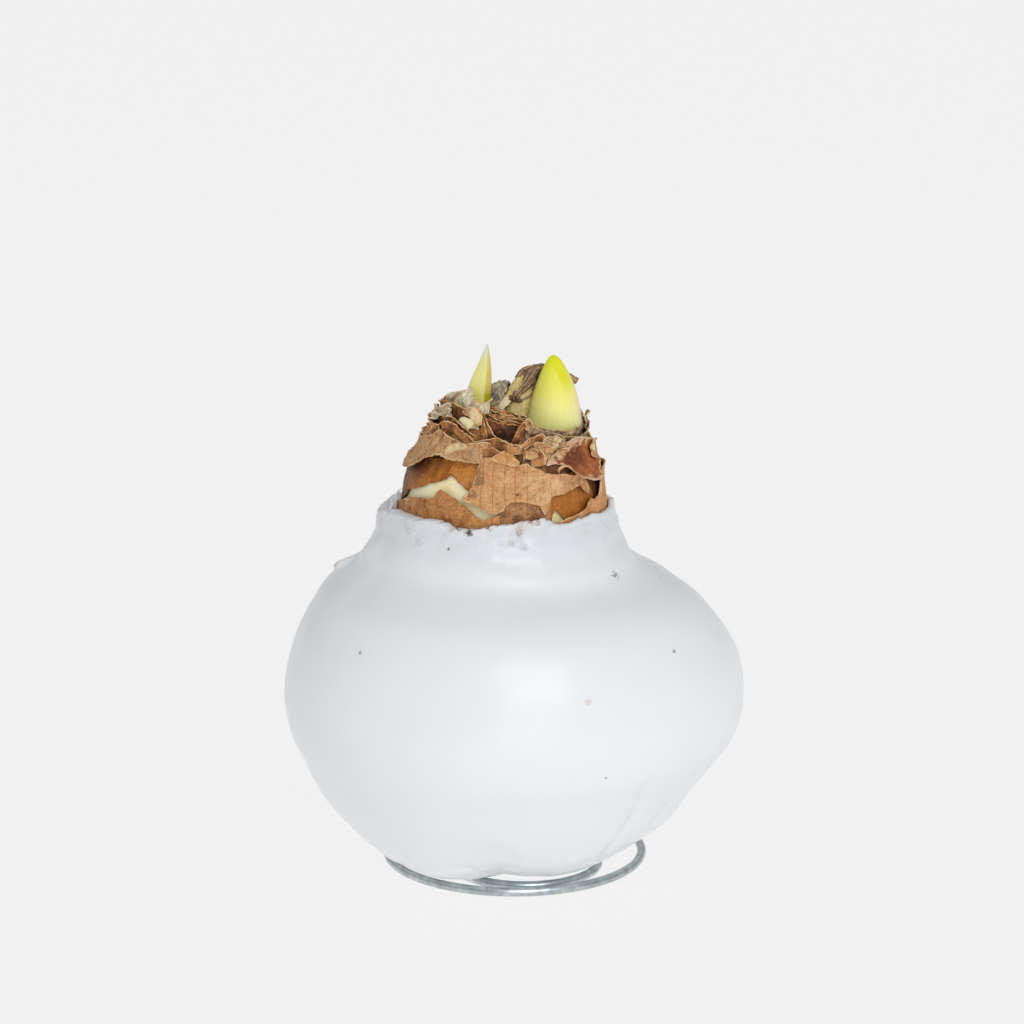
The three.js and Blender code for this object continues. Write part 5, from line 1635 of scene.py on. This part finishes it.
def build_shoot_right():
    """Two young leaves, one clasped round the other: the seam runs up the front, right of its middle."""

    def seam(height):
        return straight([[93, 30], [101, 30], [106, 28], [110, 22], [113, 6], [115, -20], [117, -50]], height)

    def outline(bearing, height):
        lap = wrap(bearing - seam(height))
        step = 0.03 * (1 - ease(lap, -3, 3)) * ease(lap, -150, -40)
        keel = 0.035 * np.exp(-(((bearing + 18) / 20) ** 2))
        ribs = 0.004 * np.sin(np.radians(bearing) * 34)
        return 1 + step + keel + ribs

    points, bearing, height, rise = tip_points(SHOOT_RIGHT, 144, 110, outline)
    lap = bearing - seam(height)
    band = ease(lap, 0, 5) * (1 - ease(lap, 34, 52)) * ease(height, 107.5, 112.5)
    blush = 0.75 * ease(bearing, 20, 75) * (1 - ease(height, 106, 113)) * ease(height, 101, 104)
    pattern = np.stack([np.radians(bearing) * 5, height], -1)
    piece = shaped_grid("shoot_bright", points, {"rise": rise, "band": band, "blush": blush}, pattern)
    close_seams()
    chosen = settings().shoots
    bright, cap, olive = (tuple(c) for c in (chosen.bright, chosen.cap, chosen.olive))
    heights = [
        (0.02, mid_tone(bright, olive, 0.1)), (0.2, mid_tone(bright, "#f4f2a4", 0.7)), (0.4, bright),
        (0.66, mid_tone(bright, "#e8e05c", 0.7)), (0.85, mid_tone(bright, cap, 0.75)), (1, cap),
    ]
    material = leaf_tip("bright_leaf_tip", heights, "#dcd70e", 0.9, "#ecd6a8")
    return finish_piece(piece, material, "bright_shoot", "shoot_right", angle=80)


def build_shoot_left():
    """A slender leaf tip, folded along its middle, with its ridge towards the front."""

    def outline(bearing, height):
        ridge = wrap(bearing - 14)
        keel = 0.16 * np.exp(-((ridge / 17) ** 2))
        hollow = -0.09 * np.exp(-(((ridge - 48) / 24) ** 2)) - 0.05 * np.exp(-(((ridge + 52) / 26) ** 2))
        return 1 + keel + hollow

    points, bearing, height, rise = tip_points(SHOOT_LEFT, 112, 110, outline)
    ridge = bearing - 14
    band = ease(ridge, 2, 14) * (1 - ease(ridge, 66, 92)) * (1 - ease(height, 106.5, 111.5))
    blush = ease(ridge, 2, 10) * ease(height, 107, 112) * 0.8
    pattern = np.stack([np.radians(bearing) * 3, height], -1)
    piece = shaped_grid("shoot_pale", points, {"rise": rise, "band": band, "blush": blush}, pattern)
    close_seams()
    chosen = settings().shoots
    pale, olive = tuple(chosen.pale), tuple(chosen.olive)
    heights = [
        (0.1, mid_tone(pale, olive, 0.6)), (0.36, mid_tone(pale, "#dcd96c", 0.7)), (0.6, pale), (0.86, "#e8dc9a"),
        (1, "#f0e8c8"),
    ]
    material = leaf_tip("pale_leaf_tip", heights, olive, 1, "#dcbc78")
    return finish_piece(piece, material, "pale_shoot", "shoot_left", angle=80)


def build_old_leaf(papers):
    """The withered leaf between the shoots: a folded hood with pale veins, green core, cut and crinkled lobe."""
    for name, lines, crumple, finish, thickness, spots in OLD_LEAF_SHEETS:
        points, values, pattern = leaf_sheet(lines, 0.16, crumple, len(name), spots)
        if name == "old_leaf_hood":
            ridge = np.linspace(0, 1, points.shape[0])[:, None]
            for middle in (0.13, 0.3, 0.41, 0.62):
                line = 1 - ease(np.abs(ridge - middle), 0.004, 0.018)
                values["pale"] = np.maximum(values["pale"], 0.6 * line * np.ones(points.shape[:2]))
                points = points + normals_of(points) * (0.14 * line)[..., None]
        piece = shaped_grid(name, points, values, pattern)
        thicken(piece, thickness * MM, 0)
        finish_piece(piece, papers[finish], "withered_leaf")
    points, bearing, height, _ = tip_points(
        OLD_LEAF_CORE, 90, 60, lambda bearing, height: 1 + 0.02 * np.sin(np.radians(bearing) * 9)
    )
    stain = 0.9 * np.exp(-(((bearing - 40) / 40) ** 2)) * ease(height, 107.5, 110)
    streak = np.exp(-(((height - 106.2 - 0.025 * bearing) / 0.5) ** 2))
    streak = streak * ease(bearing, -25, 0) * (1 - ease(bearing, 45, 70))
    stain = np.maximum(stain, 0.9 * streak)
    values = plain_values(np.full(height.shape, FAR_FROM_TEAR), stain=stain)
    core = shaped_grid("old_leaf_core", points, values, np.stack([np.radians(bearing) * 3, height], -1))
    close_seams()
    finish_piece(core, papers["living"], "withered_leaf", "old_leaf")
    for name, middle, radii in OLD_LEAF_KNOTS:
        build_knot(name, np.array(middle), np.array(radii), papers["withered"])


def build_knot(name, middle, radii, paper):
    """A small curled-up end of leaf."""
    bearing, tilt = np.meshgrid(np.linspace(-180, 180, 41), np.linspace(-90, 90, 31))
    turn, rise = np.radians(bearing), np.radians(tilt)
    ball = np.stack([np.sin(turn) * np.cos(rise), -np.cos(turn) * np.cos(rise), np.sin(rise)], -1)
    points = middle + ball * radii
    bent = 1 + 0.22 * creases(points, 0.9, seed=9)[..., None] * np.cos(rise)[..., None]
    points = middle + ball * radii * bent
    points[0], points[-1] = points[0].mean(axis=0), points[-1].mean(axis=0)
    # Painted shade: darker in the hollows of its crumple.
    stain = ease(creases(points, 0.9, seed=9) * -1, -0.2, 0.6) * 0.8
    values = plain_values(np.full(bearing.shape, FAR_FROM_TEAR), stain=stain)
    knot = shaped_grid(name, points, values, np.stack([bearing / 90, tilt / 60], -1))
    close_seams()
    return finish_piece(knot, paper, "withered_leaf")


# ---------- operators ----------


class BULB_OT_wire(bpy.types.Operator):
    """Build the coil of galvanised wire with its spike"""

    bl_idname = "bulb.wire"
    bl_label = "Wire Stand"

    def execute(self, context):
        build_wire()
        return {"FINISHED"}


class BULB_OT_wax(bpy.types.Operator):
    """Build the poured wax coat with its ragged rim"""

    bl_idname = "bulb.wax"
    bl_label = "Wax Coat"

    def execute(self, context):
        build_wax()
        return {"FINISHED"}


class BULB_OT_flesh(bpy.types.Operator):
    """Build the bulb's cream flesh, which shows where the tunics are torn"""

    bl_idname = "bulb.flesh"
    bl_label = "Bulb Flesh"

    def execute(self, context):
        build_flesh()
        return {"FINISHED"}


class BULB_OT_tunics(bpy.types.Operator):
    """Build the dry tunics round the neck and the torn scraps between them"""

    bl_idname = "bulb.tunics"
    bl_label = "Dry Tunics"

    def execute(self, context):
        papers = paper_materials(finish for finish in PAPERS if finish not in LEAF_FINISHES)
        build_tunics(papers)
        build_scraps(papers)
        return {"FINISHED"}


class BULB_OT_old_leaf(bpy.types.Operator):
    """Build the withered leaf between the shoots"""

    bl_idname = "bulb.old_leaf"
    bl_label = "Old Leaf"

    def execute(self, context):
        build_old_leaf(paper_materials(LEAF_FINISHES))
        return {"FINISHED"}


class BULB_OT_shoots(bpy.types.Operator):
    """Build the two young leaf tips"""

    bl_idname = "bulb.shoots"
    bl_label = "Shoots"

    def execute(self, context):
        build_shoot_left()
        build_shoot_right()
        return {"FINISHED"}


class BULB_OT_stage(bpy.types.Operator):
    """Build the floor, the camera and the soft lights"""

    bl_idname = "bulb.stage"
    bl_label = "Stage"

    def execute(self, context):
        deselect()
        bpy.ops.mesh.primitive_plane_add(size=14, location=(0, 0, 0))
        floor = context.object
        floor.name = "floor"
        floor.data.materials.append(studio_floor())
        bpy.ops.object.camera_add(location=CAMERA["place"], rotation=(math.radians(90 - CAMERA["tilt"]), 0, 0))
        camera = context.object
        camera.data.lens = CAMERA["lens"]
        camera.data.sensor_width = CAMERA["sensor"]
        context.scene.camera = camera
        chosen = settings().stage
        world = bpy.data.worlds.new("even_sky")
        world.use_nodes = True
        background = world.node_tree.nodes["Background"]
        background.inputs["Color"].default_value = (1, 1, 1, 1)
        background.inputs["Strength"].default_value = chosen.sky
        context.scene.world = world
        for name, place, size, share in SOFTBOXES:
            bpy.ops.object.light_add(type="AREA", location=place)
            light = context.object
            light.name = name
            light.data.energy = share * chosen.key
            light.data.size = size
            light.data.color = SOFTBOX_COLOUR
            light.rotation_euler = (Vector(SOFTBOX_AIM) - Vector(place)).to_track_quat("-Z", "Y").to_euler()
        context.scene.view_settings.view_transform = "Standard"
        return {"FINISHED"}


BUILD_ORDER = [
    BULB_OT_stage, BULB_OT_wire, BULB_OT_wax, BULB_OT_flesh, BULB_OT_tunics, BULB_OT_old_leaf, BULB_OT_shoots,
]


class BULB_PT_panel(bpy.types.Panel):
    """Lists the settings and the pieces of the waxed bulb"""

    bl_idname = "BULB_PT_panel"
    bl_label = "Waxed Bulb"
    bl_space_type = "VIEW_3D"
    bl_region_type = "UI"
    bl_category = "Bulb"

    def draw(self, context):
        chosen = getattr(context.scene, SETTINGS)
        for group in ("wire", "wax", "tunics", "shoots", "stage"):
            box = self.layout.box()
            box.label(text=group.capitalize())
            part = getattr(chosen, group)
            for name in type(part).__annotations__:
                box.prop(part, name)
        for operator in BUILD_ORDER:
            self.layout.operator(operator.bl_idname)


CLASSES = [
    WireSettings, WaxSettings, TunicSettings, ShootSettings, StageSettings, BulbSettings, *BUILD_ORDER, BULB_PT_panel,
]


def register():
    for item in CLASSES:
        bpy.utils.register_class(item)
    setattr(bpy.types.Scene, SETTINGS, bpy.props.PointerProperty(type=BulbSettings))


def unregister():
    delattr(bpy.types.Scene, SETTINGS)
    for item in reversed(CLASSES):
        bpy.utils.unregister_class(item)


def main():
    register()
    for operator in BUILD_ORDER:
        group, name = operator.bl_idname.split(".")
        getattr(getattr(bpy.ops, group), name)()


if __name__ == "__main__":
    main()
